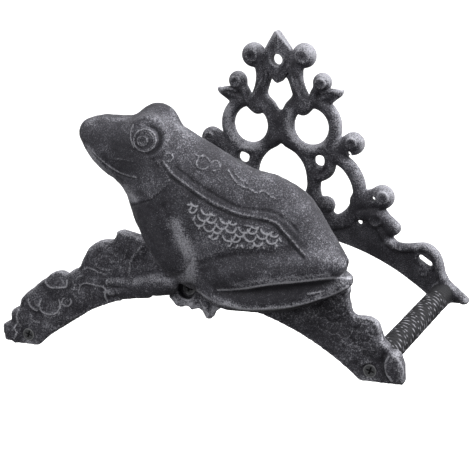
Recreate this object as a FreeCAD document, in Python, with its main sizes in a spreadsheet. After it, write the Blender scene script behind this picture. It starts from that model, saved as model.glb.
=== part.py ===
"""Cast-iron hose hanger for a wall: a scrollwork back plate, an arched front plate with a frog cast
in one with it, three round spacer bars between the plates and six countersunk screws.

Frame: +X to the right, the wall is the plane y = 0, the front faces -Y, +Z up. The origin is the
axis of the top fixing hole in the wall face. Heights in the sheet are measured from the floor that
the side bars would rest on, and every piece is lowered by hole_height when it is placed.
"""
import FreeCAD, Part
import Sketcher
import math
import os

Vector = FreeCAD.Vector
OUT_OF_WALL = FreeCAD.Rotation(Vector(1, 0, 0), 90)
Y_TO_ROOM = FreeCAD.Rotation(Vector(0, 0, 1), 180)
TINY = 1e-6

# Driving sizes in millimetres and degrees. Positions are half-spacings (x) and heights (z).
SIZES = {
    # plates, bars and screws
    "back_thick": 8.0,
    "front_thick": 7.0,
    "bar_length": 165.0,
    "bar_radius": 8.6,
    "bar_spread": 126.0,
    "bar_top_height": 52.4,
    "screw_radius": 2.4,
    "screw_play": 0.2,
    "screw_length": 20.0,
    "head_radius": 4.6,
    "head_sink": 0.75,
    "centre_sink": 3.2,
    # arch shared by both plates
    "arch_radius": 174.9,
    "arch_rise": 47.7,
    "foot_lift": 1.1,
    # back plate band and outer shapes
    "band_radius": 181.4,
    "band_rise": 71.1,
    "boss_radius": 11.0,
    "hole_height": 180.6,
    "hole_radius": 4.4,
    "finial_radius": 9.6,
    "tip_height": 22.1,
    "tip_half": 7.6,
    "slot_x": 112.4,
    "slot_z": 32.4,
    "slot_length": 12.0,
    "slot_radius": 2.2,
    "slot_tilt": -35.0,
    "bulge_x": 110.6,
    "bulge_z": 30.2,
    "bulge_radius": 14.8,
    # back plate openings
    "ring_x": 24.5,
    "ring_z": 130.1,
    "ring_hole": 14.4,
    "ring_band": 9.8,
    "oval_x": 43.4,
    "oval_z": 82.5,
    "oval_half": 13.3,
    "oval_rise": 19.6,
    "oval_band": 10.6,
    "centre_z": 90.6,
    "centre_half": 21.0,
    "centre_rise": 25.8,
    "centre_band": 9.0,
    "crown_z": 157.0,
    "crown_radius": 19.0,
    "heart_drop": 3.4,
    "heart_radius": 9.4,
    "lobe_radius": 4.6,
    "lobe_half": 5.4,
    "lobe_rise": 4.2,
    "leaf_place": 56.0,
    "leaf_heading": 30.0,
    "leaf_long": 11.0,
    "leaf_root": 6.0,
    "leaf_wide": 5.0,
    "leaf_point": 1.4,
    "eyelet_x": 29.4,
    "eyelet_z": 104.1,
    "eyelet_radius": 4.9,
    "pin_hole": 1.5,
    "pin_x": 62.0,
    "pin_z": 58.5,
    "ball_rise": 1.5,
    # front plate
    "front_arc_radius": 155.0,
    "front_arc_rise": 87.0,
    "front_boss": 11.0,
    "pebble_rise": 2.2,
    "boss_rise": 1.6,
    # frog
    "frog_middle": 15.0,
    "frog_wall": 5.0,
}

# Round discs of the scrollwork on the right half: half-spacing, height, radius.
DISCS = {
    "scroll_arm": (10.5, 173.0, 7.0),
    "leaf_arm": (28.5, 157.0, 7.5),
    "inner_lobe": (18.4, 144.2, 5.6),
    "shoulder_neck": (49.0, 113.5, 5.6),
    "outer_neck": (68.5, 72.5, 9.0),
    "lower_scroll": (75.5, 63.5, 10.0),
    "hook": (84.6, 54.4, 5.0),
    "oval_lobe": (36.0, 97.0, 5.0),
}

# Domed balls that end the scrolls on the right half: half-spacing, height, radius.
BALLS = {
    "fleur_ball": (19.6, 183.2, 8.8),
    "scroll_ball": (34.2, 163.6, 6.8),
    "shoulder_ball": (56.2, 118.6, 7.4),
    "inner_ball": (33.6, 70.6, 6.9),
    "outer_ball": (76.6, 77.6, 9.2),
}

# Scallops along the front plate: place along X (left is negative), height, radius.
PEBBLES = {
    "left_foot": (-138.4, 9.8, 8.4),
    "left_ankle": (-131.5, 22.6, 7.6),
    "left_outer": (-116.0, 35.0, 10.4),
    "left_high": (-99.0, 45.8, 9.4),
    "left_small": (-84.0, 53.4, 7.0),
    "left_leaf": (-62.5, 66.6, 13.0),
    "left_chest": (-37.5, 81.4, 11.8),
    "left_inner": (-104.0, 26.5, 9.0),
    "left_low": (-84.0, 39.0, 9.0),
    "left_mid": (-62.0, 49.5, 9.5),
    "right_foot": (140.8, 9.3, 8.1),
    "right_ankle": (131.6, 25.0, 9.0),
    "right_outer": (121.6, 34.2, 9.0),
    "right_high": (102.0, 50.4, 10.4),
    "right_inner": (104.0, 28.0, 9.5),
    "right_low": (84.0, 40.0, 9.5),
    "toe_web": (9.0, 43.5, 6.5),
}

# Frog sections from snout to tail: place along X, height, half height, half width, tilt.
SECTIONS = {
    "nose": (-66.6, 160.1, 3.4, 3.4, 75.7),
    "snout": (-64.4, 159.5, 7.2, 7.0, 75.7),
    "muzzle": (-54.5, 155.2, 15.3, 13.5, 75.0),
    "cheek": (-43.0, 150.8, 20.0, 17.0, 72.3),
    "brow": (-30.3, 148.2, 24.2, 19.0, 64.1),
    "neck": (-17.6, 142.2, 30.0, 20.5, 57.5),
    "chest": (-2.0, 124.6, 38.8, 24.5, 52.5),
    "belly": (25.1, 100.7, 47.3, 26.0, 55.8),
    "loin": (49.6, 93.5, 46.8, 24.5, 61.5),
    "hip": (75.3, 88.3, 40.5, 22.0, 65.6),
    "rump": (98.5, 78.5, 25.5, 17.0, 69.8),
    "tail": (111.3, 72.9, 9.4, 9.0, 69.3),
}
RING_SIDES = 12
LUMP_SIDES = 8
LIMB_WEDGES = 2
SCREW_WEDGES = 3
MUSCLE_FORM = ((-1.0, 0.35), (-0.6, 0.9), (0.35, 0.96), (1.0, 0.35))

# Lumps of the frog: middle (x, distance from the rear face, z), half length, height, depth, tilt.
MUSCLES = {
    "near_brow": (-14.0, 21.0, 158.8, 14.0, 12.5, 13.0, 25.0),
    "far_brow": (-13.7, 8.0, 164.1, 14.4, 13.8, 10.0, 0.0),
    "near_eye": (-12.6, 27.0, 158.1, 8.0, 8.0, 8.0, 0.0),
    "thigh": (70.0, 26.0, 77.5, 50.0, 14.5, 17.0, 7.0),
    "shank": (73.5, 25.0, 63.0, 48.5, 9.5, 12.0, 11.0),
    "foot": (76.0, 11.0, 56.5, 38.0, 6.0, 5.5, 14.0),
}
HOLLOW = ("neck", "chest", "belly", "loin", "hip")

# Tapered limbs and digits: start, end (x, distance from the rear face, z) and the two radii.
LIMBS = {
    "upper_arm": ((-3.0, 26.0, 104.0), (3.0, 28.0, 73.0), 12.0, 7.0),
    "forearm": ((5.0, 24.0, 70.0), (-33.0, 11.0, 50.0), 6.0, 5.0),
    "finger_high": ((-33.0, 9.0, 49.5), (-57.0, 8.0, 52.6), 3.6, 3.0),
    "finger_mid": ((-33.0, 9.0, 48.0), (-57.0, 8.0, 46.0), 3.6, 3.0),
    "finger_low": ((-33.0, 9.0, 47.5), (-50.5, 8.0, 43.6), 3.4, 2.6),
    "toe_long": ((36.0, 10.0, 50.0), (16.0, 8.0, 37.5), 4.4, 3.0),
    "toe_inner": ((33.0, 11.0, 54.0), (14.0, 9.0, 47.0), 4.0, 3.0),
}

doc = FreeCAD.newDocument("hose_hanger")
sheet = doc.addObject("Spreadsheet::Sheet", "sizes")


def fill_sheet():
    """Write every named size to the sheet, one row each."""
    table = dict(SIZES)
    for group in (DISCS, BALLS, PEBBLES):
        for name, (x, z, radius) in group.items():
            table[name + "_x"] = x
            table[name + "_z"] = z
            table[name + "_radius"] = radius
    for name, (x, z, high, wide, tilt) in SECTIONS.items():
        table[name + "_x"] = x
        table[name + "_z"] = z
        table[name + "_high"] = high
        table[name + "_wide"] = wide
        table[name + "_tilt"] = tilt
    for row, (alias, value) in enumerate(table.items(), start=1):
        sheet.set(f"A{row}", alias)
        sheet.set(f"B{row}", str(value))
        sheet.setAlias(f"B{row}", alias)
    doc.recompute()


def size(alias):
    """The value of one cell, for shapes that take their place in code."""
    return float(sheet.get(alias))


def make(kind, name, formulas, turn=None):
    """Add an object whose properties follow the sheet; place it with an optional turn."""
    item = doc.addObject(kind, name)
    if turn is not None:
        item.Placement = FreeCAD.Placement(Vector(0, 0, 0), turn)
    for prop, formula in formulas.items():
        item.setExpression(prop, formula)
    return item


def at(x, out, z):
    """Placement formulas for a point: along X, distance out of the wall side, height."""
    return {"Placement.Base.x": x, "Placement.Base.y": f"-({out})", "Placement.Base.z": z}


def rod(name, x, z, radius, start, length):
    """A round rod that points out of the wall."""
    return make("Part::Cylinder", name, {"Radius": radius, "Height": length, **at(x, start, z)}, OUT_OF_WALL)


def faceted(name, near, far, length, spot, turn, wedges):
    """A solid of flat sides about its own Y axis, the space that several turned wedges share.

    near and far are its half widths across flats at the start and the end, and each wedge gives four sides."""
    rule = {"Ymin": "0", "Ymax": length, **spot}
    rule.update({"Xmin": f"-({near})", "Xmax": near, "Zmin": f"-({near})", "Zmax": near})
    rule.update({"X2min": f"-({far})", "X2max": far, "Z2min": f"-({far})", "Z2max": far})
    step = 90.0 / wedges
    parts = []
    for index in range(wedges):
        spin = turn.multiply(FreeCAD.Rotation(Vector(0, 1, 0), index * step))
        parts.append(make("Part::Wedge", f"{name}_{index}", rule, spin))
    return overlap(name, parts)


def shank(name, x, z, near, far, start, length):
    """A twelve-sided pin or countersink that points out of the wall, from half width near to far."""
    return faceted(name, near, far, length, at(x, start, z), Y_TO_ROOM, SCREW_WEDGES)


def join(name, pieces):
    """Fuse several objects."""
    item = doc.addObject("Part::MultiFuse", name)
    item.Shapes = pieces
    item.Refine = True
    return item


def overlap(name, pieces):
    """The space that several objects share."""
    item = doc.addObject("Part::MultiCommon", name)
    item.Shapes = pieces
    return item


def cut(name, base, tool):
    """Take tool away from base."""
    item = doc.addObject("Part::Cut", name)
    item.Base = base
    item.Tool = tool
    item.Refine = True
    return item


def mirrored(name, source):
    """The same shape on the other side of the symmetry plane."""
    item = doc.addObject("Part::Mirroring", name)
    item.Source = source
    item.Normal = Vector(1, 0, 0)
    return item


def disc(name, x, z, radius, thick="sizes.back_thick"):
    """A round plate on the wall side."""
    return rod(name, x, z, radius, "0", thick)


def round_hole(name, x, z, radius):
    """A hole through the back plate."""
    return rod(name, x, z, radius, "-1", "sizes.back_thick + 2")


def pointed_oval(name, x, z, half, rise, grow="0", hole=False):
    """A lens with points at top and bottom, where two large circles overlap.

    Each circle's radius is (rise^2 + half^2) / (2 half), and grow widens both."""
    radius = f"(({rise})^2 + ({half})^2) / (2 * ({half}))"
    shift = f"({radius} - ({half}))"
    sides = []
    for side, sign in (("left", "-"), ("right", "+")):
        place = f"{x} {sign} {shift}"
        maker = round_hole if hole else disc
        sides.append(maker(f"{name}_{side}", place, z, f"{radius} + {grow}"))
    return overlap(name, sides)


def arch_sketch(body, name, upper_radius, upper_rise):
    """A band between two arcs that are centred on the symmetry plane and cut off at the feet."""
    sketch = body.newObject("Sketcher::SketchObject", name)
    plane = next(item for item in body.Origin.OriginFeatures if item.Role == "XZ_Plane")
    sketch.AttachmentSupport = [(plane, "")]
    sketch.MapMode = "FlatFace"
    foot = size("foot_lift")
    arcs = []
    for radius, rise in ((size("arch_radius"), size("arch_rise")), (size(upper_radius), size(upper_rise))):
        drop = radius - rise
        half = math.sqrt(radius ** 2 - (foot + drop) ** 2)
        start = math.atan2(foot + drop, half)
        circle = Part.Circle(Vector(0, -drop, 0), Vector(0, 0, 1), radius)
        sketch.addGeometry(Part.ArcOfCircle(circle, start, math.pi - start), False)
        arcs.append(half)
    inner, outer = arcs
    sketch.addGeometry(Part.LineSegment(Vector(inner, foot, 0), Vector(outer, foot, 0)), False)
    sketch.addGeometry(Part.LineSegment(Vector(-inner, foot, 0), Vector(-outer, foot, 0)), False)
    constrain_arch(sketch, upper_radius, upper_rise)
    return sketch


def constrain_arch(sketch, upper_radius, upper_rise):
    """Close the four edges and tie radii, crowns and the foot line to the sheet."""
    rule = Sketcher.Constraint
    lower_drop = size("arch_radius") - size("arch_rise")
    upper_drop = size(upper_radius) - size(upper_rise)
    lower, upper, right, left, axes = 0, 1, 2, 3, -1
    for arc, point, line, end in ((lower, 1, right, 1), (upper, 1, right, 2), (lower, 2, left, 1), (upper, 2, left, 2)):
        sketch.addConstraint(rule("Coincident", arc, point, line, end))
    sketch.addConstraint(rule("PointOnObject", lower, 3, -2))
    sketch.addConstraint(rule("PointOnObject", upper, 3, -2))
    sketch.addConstraint(rule("Horizontal", right))
    sketch.addConstraint(rule("Horizontal", left))
    tied = (
        (rule("Radius", lower, size("arch_radius")), "sizes.arch_radius"),
        (rule("Radius", upper, size(upper_radius)), f"sizes.{upper_radius}"),
        (rule("DistanceY", lower, 3, axes, 1, lower_drop), "sizes.arch_radius - sizes.arch_rise"),
        (rule("DistanceY", upper, 3, axes, 1, upper_drop), f"sizes.{upper_radius} - sizes.{upper_rise}"),
        (rule("DistanceY", axes, 1, right, 1, size("foot_lift")), "sizes.foot_lift"),
        (rule("DistanceY", axes, 1, left, 1, size("foot_lift")), "sizes.foot_lift"),
    )
    for constraint, formula in tied:
        index = sketch.addConstraint(constraint)
        sketch.setExpression(f"Constraints[{index}]", formula)


def arch_band(name, upper_radius, upper_rise, thick):
    """The arched band of a plate, standing out of the wall side by thick."""
    body = doc.addObject("PartDesign::Body", name)
    sketch = arch_sketch(body, name + "_outline", upper_radius, upper_rise)
    pad = body.newObject("PartDesign::Pad", name + "_pad")
    pad.Profile = sketch
    pad.setExpression("Length", thick)
    doc.recompute()
    if pad.Shape.BoundBox.YMax > TINY:
        pad.Reversed = True
        doc.recompute()
    return body


def screw_tools(name, x, z, face, inward, sink):
    """The space for one countersunk screw in a plate, from the face that its head lies in.

    face is the distance of that face from the plate's wall side; inward is "+" where the screw
    points out of the wall and "-" where it points back to it."""
    hole = "sizes.screw_radius + sizes.screw_play"
    mouth = "sizes.head_radius + sizes.head_sink"
    reach = "sizes.head_radius - sizes.screw_radius"
    screw = "sizes.screw_radius"
    head = "sizes.head_radius"
    if inward == "+":
        through = shank(name + "_through", x, z, hole, hole, "-1", "sizes.back_thick + 2")
        seat = shank(name + "_seat", x, z, head, screw, sink, reach)
        clear = rod(name + "_mouth", x, z, mouth, "-1", f"{sink} + 1")
        return [through, seat, clear]
    through = shank(name + "_through", x, z, hole, hole, "-1", "sizes.front_thick + 12")
    seat = shank(name + "_seat", x, z, screw, head, f"{face} - {sink} - ({reach})", reach)
    clear = rod(name + "_mouth", x, z, mouth, f"{face} - {sink}", f"{sink} + 10")
    return [through, seat, clear]


def finish(name, item):
    """Place a finished plate in the frame and give it its node's name."""
    item.Label = name
    item.setExpression("Placement.Base.z", "-sizes.hole_height")
    return item


def scroll_half():
    """The solid shapes of the right half of the scrollwork, before its openings are cut."""
    ring = "sizes.ring_hole + sizes.ring_band"
    pieces = [disc("ring", "sizes.ring_x", "sizes.ring_z", ring)]
    pieces.append(pointed_oval("oval", "sizes.oval_x", "sizes.oval_z", "sizes.oval_half", "sizes.oval_rise",
                               grow="sizes.oval_band"))
    pieces.append(disc("bulge", "sizes.bulge_x", "sizes.bulge_z", "sizes.bulge_radius"))
    return pieces


def scroll_ends():
    """Lobes and balls of the right half, added after the openings, so that they reach into them."""
    pieces = []
    for name in DISCS:
        pieces.append(disc(name, f"sizes.{name}_x", f"sizes.{name}_z", f"sizes.{name}_radius"))
    for name in BALLS:
        pieces.append(disc(name, f"sizes.{name}_x", f"sizes.{name}_z", f"sizes.{name}_radius",
                           "sizes.back_thick + sizes.ball_rise"))
    pieces.append(leaf_tip())
    return pieces


def leaf_tip():
    """The pointed leaf that leaves the upper ring outwards: a taper lying in the plate."""
    out = size("back_thick") / 2
    reach = size("ring_hole") + size("ring_band")
    rise = math.radians(size("leaf_place"))
    start = Vector(size("ring_x") + reach * math.cos(rise), -out, size("ring_z") + reach * math.sin(rise))
    heading = math.radians(size("leaf_heading"))
    along = Vector(math.cos(heading), 0, math.sin(heading))
    end = start + along * size("leaf_long")
    return taper("leaf_tip", start - along * size("leaf_root"), end, size("leaf_wide"), size("leaf_point"))


def slot_tool():
    """The slanted fixing slot of the right foot: two round ends and the straight part between."""
    half = "(sizes.slot_length / 2 - sizes.slot_radius)"
    ends = []
    for name, sign in (("inner", "-"), ("outer", "+")):
        x = f"sizes.slot_x {sign} {half} * cos(sizes.slot_tilt)"
        z = f"sizes.slot_z {sign} {half} * sin(sizes.slot_tilt)"
        ends.append(rod("slot_" + name, x, z, "sizes.slot_radius", "-1", "sizes.back_thick + 2"))
    rule = {
        "Length": f"2 * {half}",
        "Width": "sizes.back_thick + 2",
        "Height": "2 * sizes.slot_radius",
        "Placement.Rotation.Angle": "-sizes.slot_tilt",
        "Placement.Base.x": f"sizes.slot_x - {half} * cos(sizes.slot_tilt) + sizes.slot_radius * sin(sizes.slot_tilt)",
        "Placement.Base.y": "-sizes.back_thick - 1",
        "Placement.Base.z": f"sizes.slot_z - {half} * sin(sizes.slot_tilt) - sizes.slot_radius * cos(sizes.slot_tilt)",
    }
    middle = make("Part::Box", "slot_middle", rule, FreeCAD.Rotation(Vector(0, 1, 0), 1))
    return ends + [middle]


def openings_half():
    """Every opening of the right half of the scrollwork."""
    tools = [round_hole("ring_opening", "sizes.ring_x", "sizes.ring_z", "sizes.ring_hole")]
    tools.append(pointed_oval("oval_opening", "sizes.oval_x", "sizes.oval_z", "sizes.oval_half",
                              "sizes.oval_rise", hole=True))
    tools.append(round_hole("eyelet", "sizes.eyelet_x", "sizes.eyelet_z", "sizes.eyelet_radius"))
    lobe_z = "sizes.crown_z + sizes.lobe_rise"
    tools.append(round_hole("crown_lobe", "sizes.lobe_half", lobe_z, "sizes.lobe_radius"))
    return tools


def build_back_plate():
    """The scrollwork back plate with its fixing hole, two slots and three screw seats."""
    half = join("scroll_half", scroll_half())
    solid = [half, mirrored("scroll_half_left", half)]
    solid.append(arch_band("back_band", "band_radius", "band_rise", "sizes.back_thick"))
    solid.append(pointed_oval("centre_oval", "0", "sizes.centre_z", "sizes.centre_half", "sizes.centre_rise",
                              grow="sizes.centre_band"))
    solid.append(disc("crown", "0", "sizes.crown_z", "sizes.crown_radius"))
    openings = join("openings_half", openings_half())
    tools = [openings, mirrored("openings_half_left", openings)]
    tools.append(pointed_oval("centre_opening", "0", "sizes.centre_z", "sizes.centre_half", "sizes.centre_rise",
                              hole=True))
    tools.append(round_hole("heart", "0", "sizes.crown_z - sizes.heart_drop", "sizes.heart_radius"))
    lattice = cut("lattice", join("back_solid", solid), join("back_openings", tools))
    ends = join("scroll_ends", scroll_ends())
    extras = [lattice, ends, mirrored("scroll_ends_left", ends)]
    extras.append(disc("finial", "0", "sizes.hole_height", "sizes.finial_radius"))
    extras.append(pointed_oval("tip", "0", "sizes.hole_height", "sizes.tip_half", "sizes.tip_height"))
    extras.append(disc("boss", "0", "sizes.bar_top_height", "sizes.boss_radius"))
    return finish("back_plate", cut("back_finished", join("back_all", extras), join("back_tools", back_tools())))


def back_tools():
    """Holes of the back plate, and the wall that cuts the balls flat."""
    fixing = rod("fixing_hole", "0", "sizes.hole_height", "sizes.hole_radius", "-1", "sizes.back_thick + 2")
    slot = join("slot_right", slot_tool())
    pin = join("pins_right", [
        rod("pin_ball", "sizes.outer_ball_x", "sizes.outer_ball_z", "sizes.pin_hole", "-1", "20"),
        rod("pin_scroll", "sizes.pin_x", "sizes.pin_z", "sizes.pin_hole", "-1", "20"),
    ])
    tools = [fixing, slot, mirrored("slot_left", slot), pin, mirrored("pins_left", pin)]
    for name, x, z in SCREW_PLACES:
        tools += screw_tools("rear_" + name, x, z, "0", "+", "sizes.head_sink")
    rule = {"Length": "400", "Width": "30", "Height": "400", "Placement.Base.x": "-200", "Placement.Base.z": "-100"}
    tools.append(make("Part::Box", "wall", rule))
    return tools


SCREW_PLACES = (
    ("left", "-sizes.bar_spread", "sizes.bar_radius"),
    ("centre", "0", "sizes.bar_top_height"),
    ("right", "sizes.bar_spread", "sizes.bar_radius"),
)


def ring(name, middle, turn, high, wide, sides=RING_SIDES):
    """A closed outline of flats on an ellipse; high is its half height, wide its half width."""
    corners = []
    for index in range(sides):
        angle = 2 * math.pi * (index + 0.5) / sides
        corners.append(middle + turn.multVec(Vector(0, -wide * math.sin(angle), high * math.cos(angle))))
    item = doc.addObject("Part::Feature", name)
    item.Shape = Part.makePolygon(corners + corners[:1])
    return item


def loft(name, rings):
    """A smooth skin over outlines."""
    item = doc.addObject("Part::Loft", name)
    item.Sections = rings
    item.Solid = True
    return item


def frog_loft(name, sections, shrink=0.0):
    """The frog's body over its named sections, each side shrink smaller."""
    rings = []
    for section in sections:
        middle = Vector(size(section + "_x"), -size("frog_middle"), size(section + "_z"))
        turn = FreeCAD.Rotation(Vector(0, 1, 0), 90 - size(section + "_tilt"))
        high = size(section + "_high") - shrink
        rings.append(ring(f"{name}_{section}", middle, turn, high, size(section + "_wide") - shrink))
    return loft(name, rings)


def muscle(name):
    """A long rounded lump on a straight axis; tilt lifts its right end."""
    x, out, z, half, high, deep, tilt = MUSCLES[name]
    turn = FreeCAD.Rotation(Vector(0, 1, 0), -tilt)
    rings = []
    for index, (along, share) in enumerate(MUSCLE_FORM):
        middle = Vector(x, -out, z) + turn.multVec(Vector(along * half, 0, 0))
        rings.append(ring(f"{name}_{index}", middle, turn, high * share, deep * share, LUMP_SIDES))
    return loft(name, rings)


def limb(name):
    """A tapered limb or digit."""
    (x1, out1, z1), (x2, out2, z2), near, far = LIMBS[name]
    return taper(name, Vector(x1, -out1, z1), Vector(x2, -out2, z2), near, far)


def taper(name, start, end, near, far):
    """A straight taper of flat sides from half width near at start to far at end."""
    way = end - start
    spot = at(f"{start.x:g}", f"{-start.y:g}", f"{start.z:g}")
    turn = FreeCAD.Rotation(Vector(0, 1, 0), way)
    return faceted(name, f"{near:g}", f"{far:g}", f"{way.Length:g}", spot, turn, LIMB_WEDGES)


def front_pebbles():
    """Overlapping scallops that stand a little out of the arch and give it its lobed outline."""
    pieces = []
    thick = "sizes.front_thick + sizes.pebble_rise"
    for name in PEBBLES:
        pieces.append(disc(name, f"sizes.{name}_x", f"sizes.{name}_z", f"sizes.{name}_radius", thick))
    return pieces


def front_arch(hollow):
    """The arched band with its scallops and centre boss, and the three screw seats cut in it."""
    pieces = [arch_band("front_band", "front_arc_radius", "front_arc_rise", "sizes.front_thick")]
    pieces += front_pebbles()
    pieces.append(disc("front_boss_disc", "0", "sizes.bar_top_height", "sizes.front_boss",
                       "sizes.front_thick + sizes.boss_rise"))
    tools = [hollow]
    for name, x, z in SCREW_PLACES:
        sink = "sizes.centre_sink" if name == "centre" else "sizes.head_sink"
        tools += screw_tools("front_" + name, x, z, "sizes.front_thick", "-", sink)
    return cut("front_arch", join("front_flat", pieces), join("front_tools", tools))


def build_front_plate():
    """The arched front plate and the frog cast in one with it, hollow behind."""
    rule = {"Length": "400", "Width": "60", "Height": "400", "Placement.Base.x": "-200", "Placement.Base.z": "-100"}
    rear = make("Part::Box", "rear_space", rule)
    hollow = frog_loft("frog_hollow", HOLLOW, size("frog_wall"))
    body = cut("frog_shell", frog_loft("frog_body", list(SECTIONS)), join("frog_inside", [hollow, rear]))
    far = cut("far_brow_front", muscle("far_brow"), rear)
    lumps = [muscle(name) for name in MUSCLES if name != "far_brow"]
    limbs = [limb(name) for name in LIMBS]
    frog = join("frog", [body, far] + lumps + limbs)
    item = join("front_finished", [front_arch(hollow), frog])
    finish("front_plate", item)
    item.setExpression("Placement.Base.y", "-(sizes.back_thick + sizes.bar_length)")
    return item


def build_bar(name, x, z):
    """A round spacer bar, tapped at both ends, between the two plates."""
    node = "bar_" + name
    body = rod(node + "_body", x, z, "sizes.bar_radius", "sizes.back_thick", "sizes.bar_length")
    hole = "sizes.screw_radius + sizes.screw_play"
    rear = shank(node + "_rear_tap", x, z, hole, hole, "sizes.back_thick - 1", "sizes.screw_length + 1")
    end = "sizes.back_thick + sizes.bar_length - sizes.screw_length"
    front = shank(node + "_front_tap", x, z, hole, hole, end, "sizes.screw_length + 1")
    return finish(node, cut(node + "_tapped", body, join(node + "_taps", [rear, front])))


def build_screw(name, x, z, side, sink):
    """A countersunk screw that points into its bar."""
    node = f"{side}_screw_{name}"
    screw, head = "sizes.screw_radius", "sizes.head_radius"
    reach = "sizes.head_radius - sizes.screw_radius"
    if side == "rear":
        top = shank(node + "_head", x, z, head, screw, sink, reach)
        pin = shank(node + "_pin", x, z, screw, screw, sink, "sizes.screw_length")
        return finish(node, join(node + "_whole", [top, pin]))
    face = f"(sizes.back_thick + sizes.bar_length + sizes.front_thick - {sink})"
    top = shank(node + "_head", x, z, screw, head, f"{face} - ({reach})", reach)
    pin = shank(node + "_pin", x, z, screw, screw, f"{face} - sizes.screw_length", "sizes.screw_length")
    return finish(node, join(node + "_whole", [top, pin]))


def build_all():
    """Every piece of the hanger."""
    nodes = [build_back_plate(), build_front_plate()]
    for name, x, z in SCREW_PLACES:
        nodes.append(build_bar(name, x, z))
        nodes.append(build_screw(name, x, z, "rear", "sizes.head_sink"))
        sink = "sizes.centre_sink" if name == "centre" else "sizes.head_sink"
        nodes.append(build_screw(name, x, z, "front", sink))
    return nodes


def check_and_write(nodes):
    """Stop on any failed object or bad solid, then write one STEP file for each piece."""
    for item in doc.Objects:
        if {"Invalid", "Error"} & set(item.State):
            raise ValueError(f"{item.Name} failed: {item.State}")
    for item in nodes:
        shape = item.Shape
        if shape.isNull() or not shape.isValid() or len(shape.Solids) != 1:
            raise ValueError(f"{item.Label} is not one sound solid: {len(shape.Solids)}")
    os.makedirs("parts", exist_ok=True)
    for item in nodes:
        item.Shape.exportStep(os.path.join("parts", item.Label + ".step"))
        box = item.Shape.BoundBox
        print(f"{item.Label:20s} {item.Shape.Volume / 1000:8.1f} cm3  x {box.XMin:.1f} {box.XMax:.1f}"
              f"  y {box.YMin:.1f} {box.YMax:.1f}  z {box.ZMin:.1f} {box.ZMax:.1f}")


fill_sheet()
pieces = build_all()
doc.recompute()
check_and_write(pieces)
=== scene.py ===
"""Looks of a cast-iron hose hanger: scrollwork back plate, arched front plate with a frog, bars and screws.

The castings are worked out as distance fields in millimetres, in (x, out, z): x to the right, out from the
face a casting lies on, z up from the floor under the side bars. A field is negative inside the metal. Shapes
that meet are blended with a small fillet, as in a real casting, and the zero surface becomes the mesh.
"""
import logging
import math
from dataclasses import dataclass, field
from enum import Enum

import bpy
import numpy as np
from mathutils import Matrix, Vector

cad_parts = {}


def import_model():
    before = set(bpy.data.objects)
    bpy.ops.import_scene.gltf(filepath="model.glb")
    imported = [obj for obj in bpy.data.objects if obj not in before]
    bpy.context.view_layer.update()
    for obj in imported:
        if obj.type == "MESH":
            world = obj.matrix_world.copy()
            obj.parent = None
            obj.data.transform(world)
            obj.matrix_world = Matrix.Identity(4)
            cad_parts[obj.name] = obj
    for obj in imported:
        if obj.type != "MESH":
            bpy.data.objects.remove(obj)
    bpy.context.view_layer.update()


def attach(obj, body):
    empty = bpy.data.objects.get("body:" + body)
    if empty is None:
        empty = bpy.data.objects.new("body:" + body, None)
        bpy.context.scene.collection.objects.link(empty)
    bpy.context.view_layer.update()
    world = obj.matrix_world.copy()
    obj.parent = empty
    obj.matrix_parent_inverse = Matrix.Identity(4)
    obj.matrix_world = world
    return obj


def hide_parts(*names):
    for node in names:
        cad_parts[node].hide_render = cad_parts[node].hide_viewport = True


LOG = logging.getLogger("hose_hanger")
TRIANGLE_LIMIT = 190000
MIRROR = np.array([1.0, -1.0, 1.0])

# Sizes in mm that pieces share; heights are from the floor under the side bars
HOLE_HEIGHT = 180.6
BACK_THICK = 8.0
FRONT_REAR = 173.0
FRONT_THICK = 7.0
ARCH_RADIUS = 174.9
ARCH_DROP = 127.2
FOOT_LIFT = 1.1
BAR_SPREAD = 126.0
SIDE_BAR = 8.6
TOP_BAR = 52.4
SIDE_SINK = 0.8
CENTRE_SINK = 3.2
BORE = 2.6

Pair = tuple[float, float]
Triple = tuple[float, float, float]


# Viewpoint


@dataclass(frozen=True)
class Viewpoint:
    """The photograph's camera: a pinhole in front of the wall, slightly to the right and above."""

    eye: Triple = (403.9, -1013.8, 333.5)
    forward: Triple = (-0.38991, 0.88464, -0.25572)
    right: Triple = (0.91847, 0.39356, -0.03897)
    up: Triple = (-0.06616, 0.25006, 0.96597)
    focal: float = 1458.5
    half: float = 235.0
    sensor: float = 36.0

    def pixels(self, points: np.ndarray) -> np.ndarray:
        """Project points on the image: the offset from the eye along right and up, over that along forward.

        Args:
            points: rows of (x, y, z) in mm, y into the wall, z from the floor.

        Returns:
            Rows of (u, v) in pixels of the square image.
        """
        away = points - np.array(self.eye)
        depth = away @ np.array(self.forward)
        across = self.half + self.focal * (away @ np.array(self.right)) / depth
        down = self.half - self.focal * (away @ np.array(self.up)) / depth
        return np.stack([across, down], axis=1)

    def build(self) -> None:
        """Make the camera and set it as the scene's camera."""
        data = bpy.data.cameras.new("photo_camera")
        data.sensor_width = self.sensor
        data.lens = self.focal / (2 * self.half) * self.sensor
        data.clip_start = 0.05
        data.clip_end = 20.0
        camera = bpy.data.objects.new("photo_camera", data)
        bpy.context.scene.collection.objects.link(camera)
        columns = [self.right, self.up, [-value for value in self.forward]]
        turn = Matrix(columns).transposed().to_4x4()
        place = [self.eye[0] / 1000, self.eye[1] / 1000, (self.eye[2] - HOLE_HEIGHT) / 1000]
        camera.matrix_world = Matrix.Translation(place) @ turn
        bpy.context.scene.camera = camera


VIEW = Viewpoint()


# Distance fields


def soft_min(first: np.ndarray, second: np.ndarray, blend: float) -> np.ndarray:
    """The lesser of two fields, with a fillet about blend wide where they are close.

    Args:
        first: a field.
        second: another field of a shape that broadcasts to it.
        blend: width of the fillet in mm.

    Returns:
        The blended field.
    """
    share = np.clip(0.5 + 0.5 * (second - first) / blend, 0.0, 1.0)
    return second + (first - second) * share - blend * share * (1.0 - share)


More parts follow.
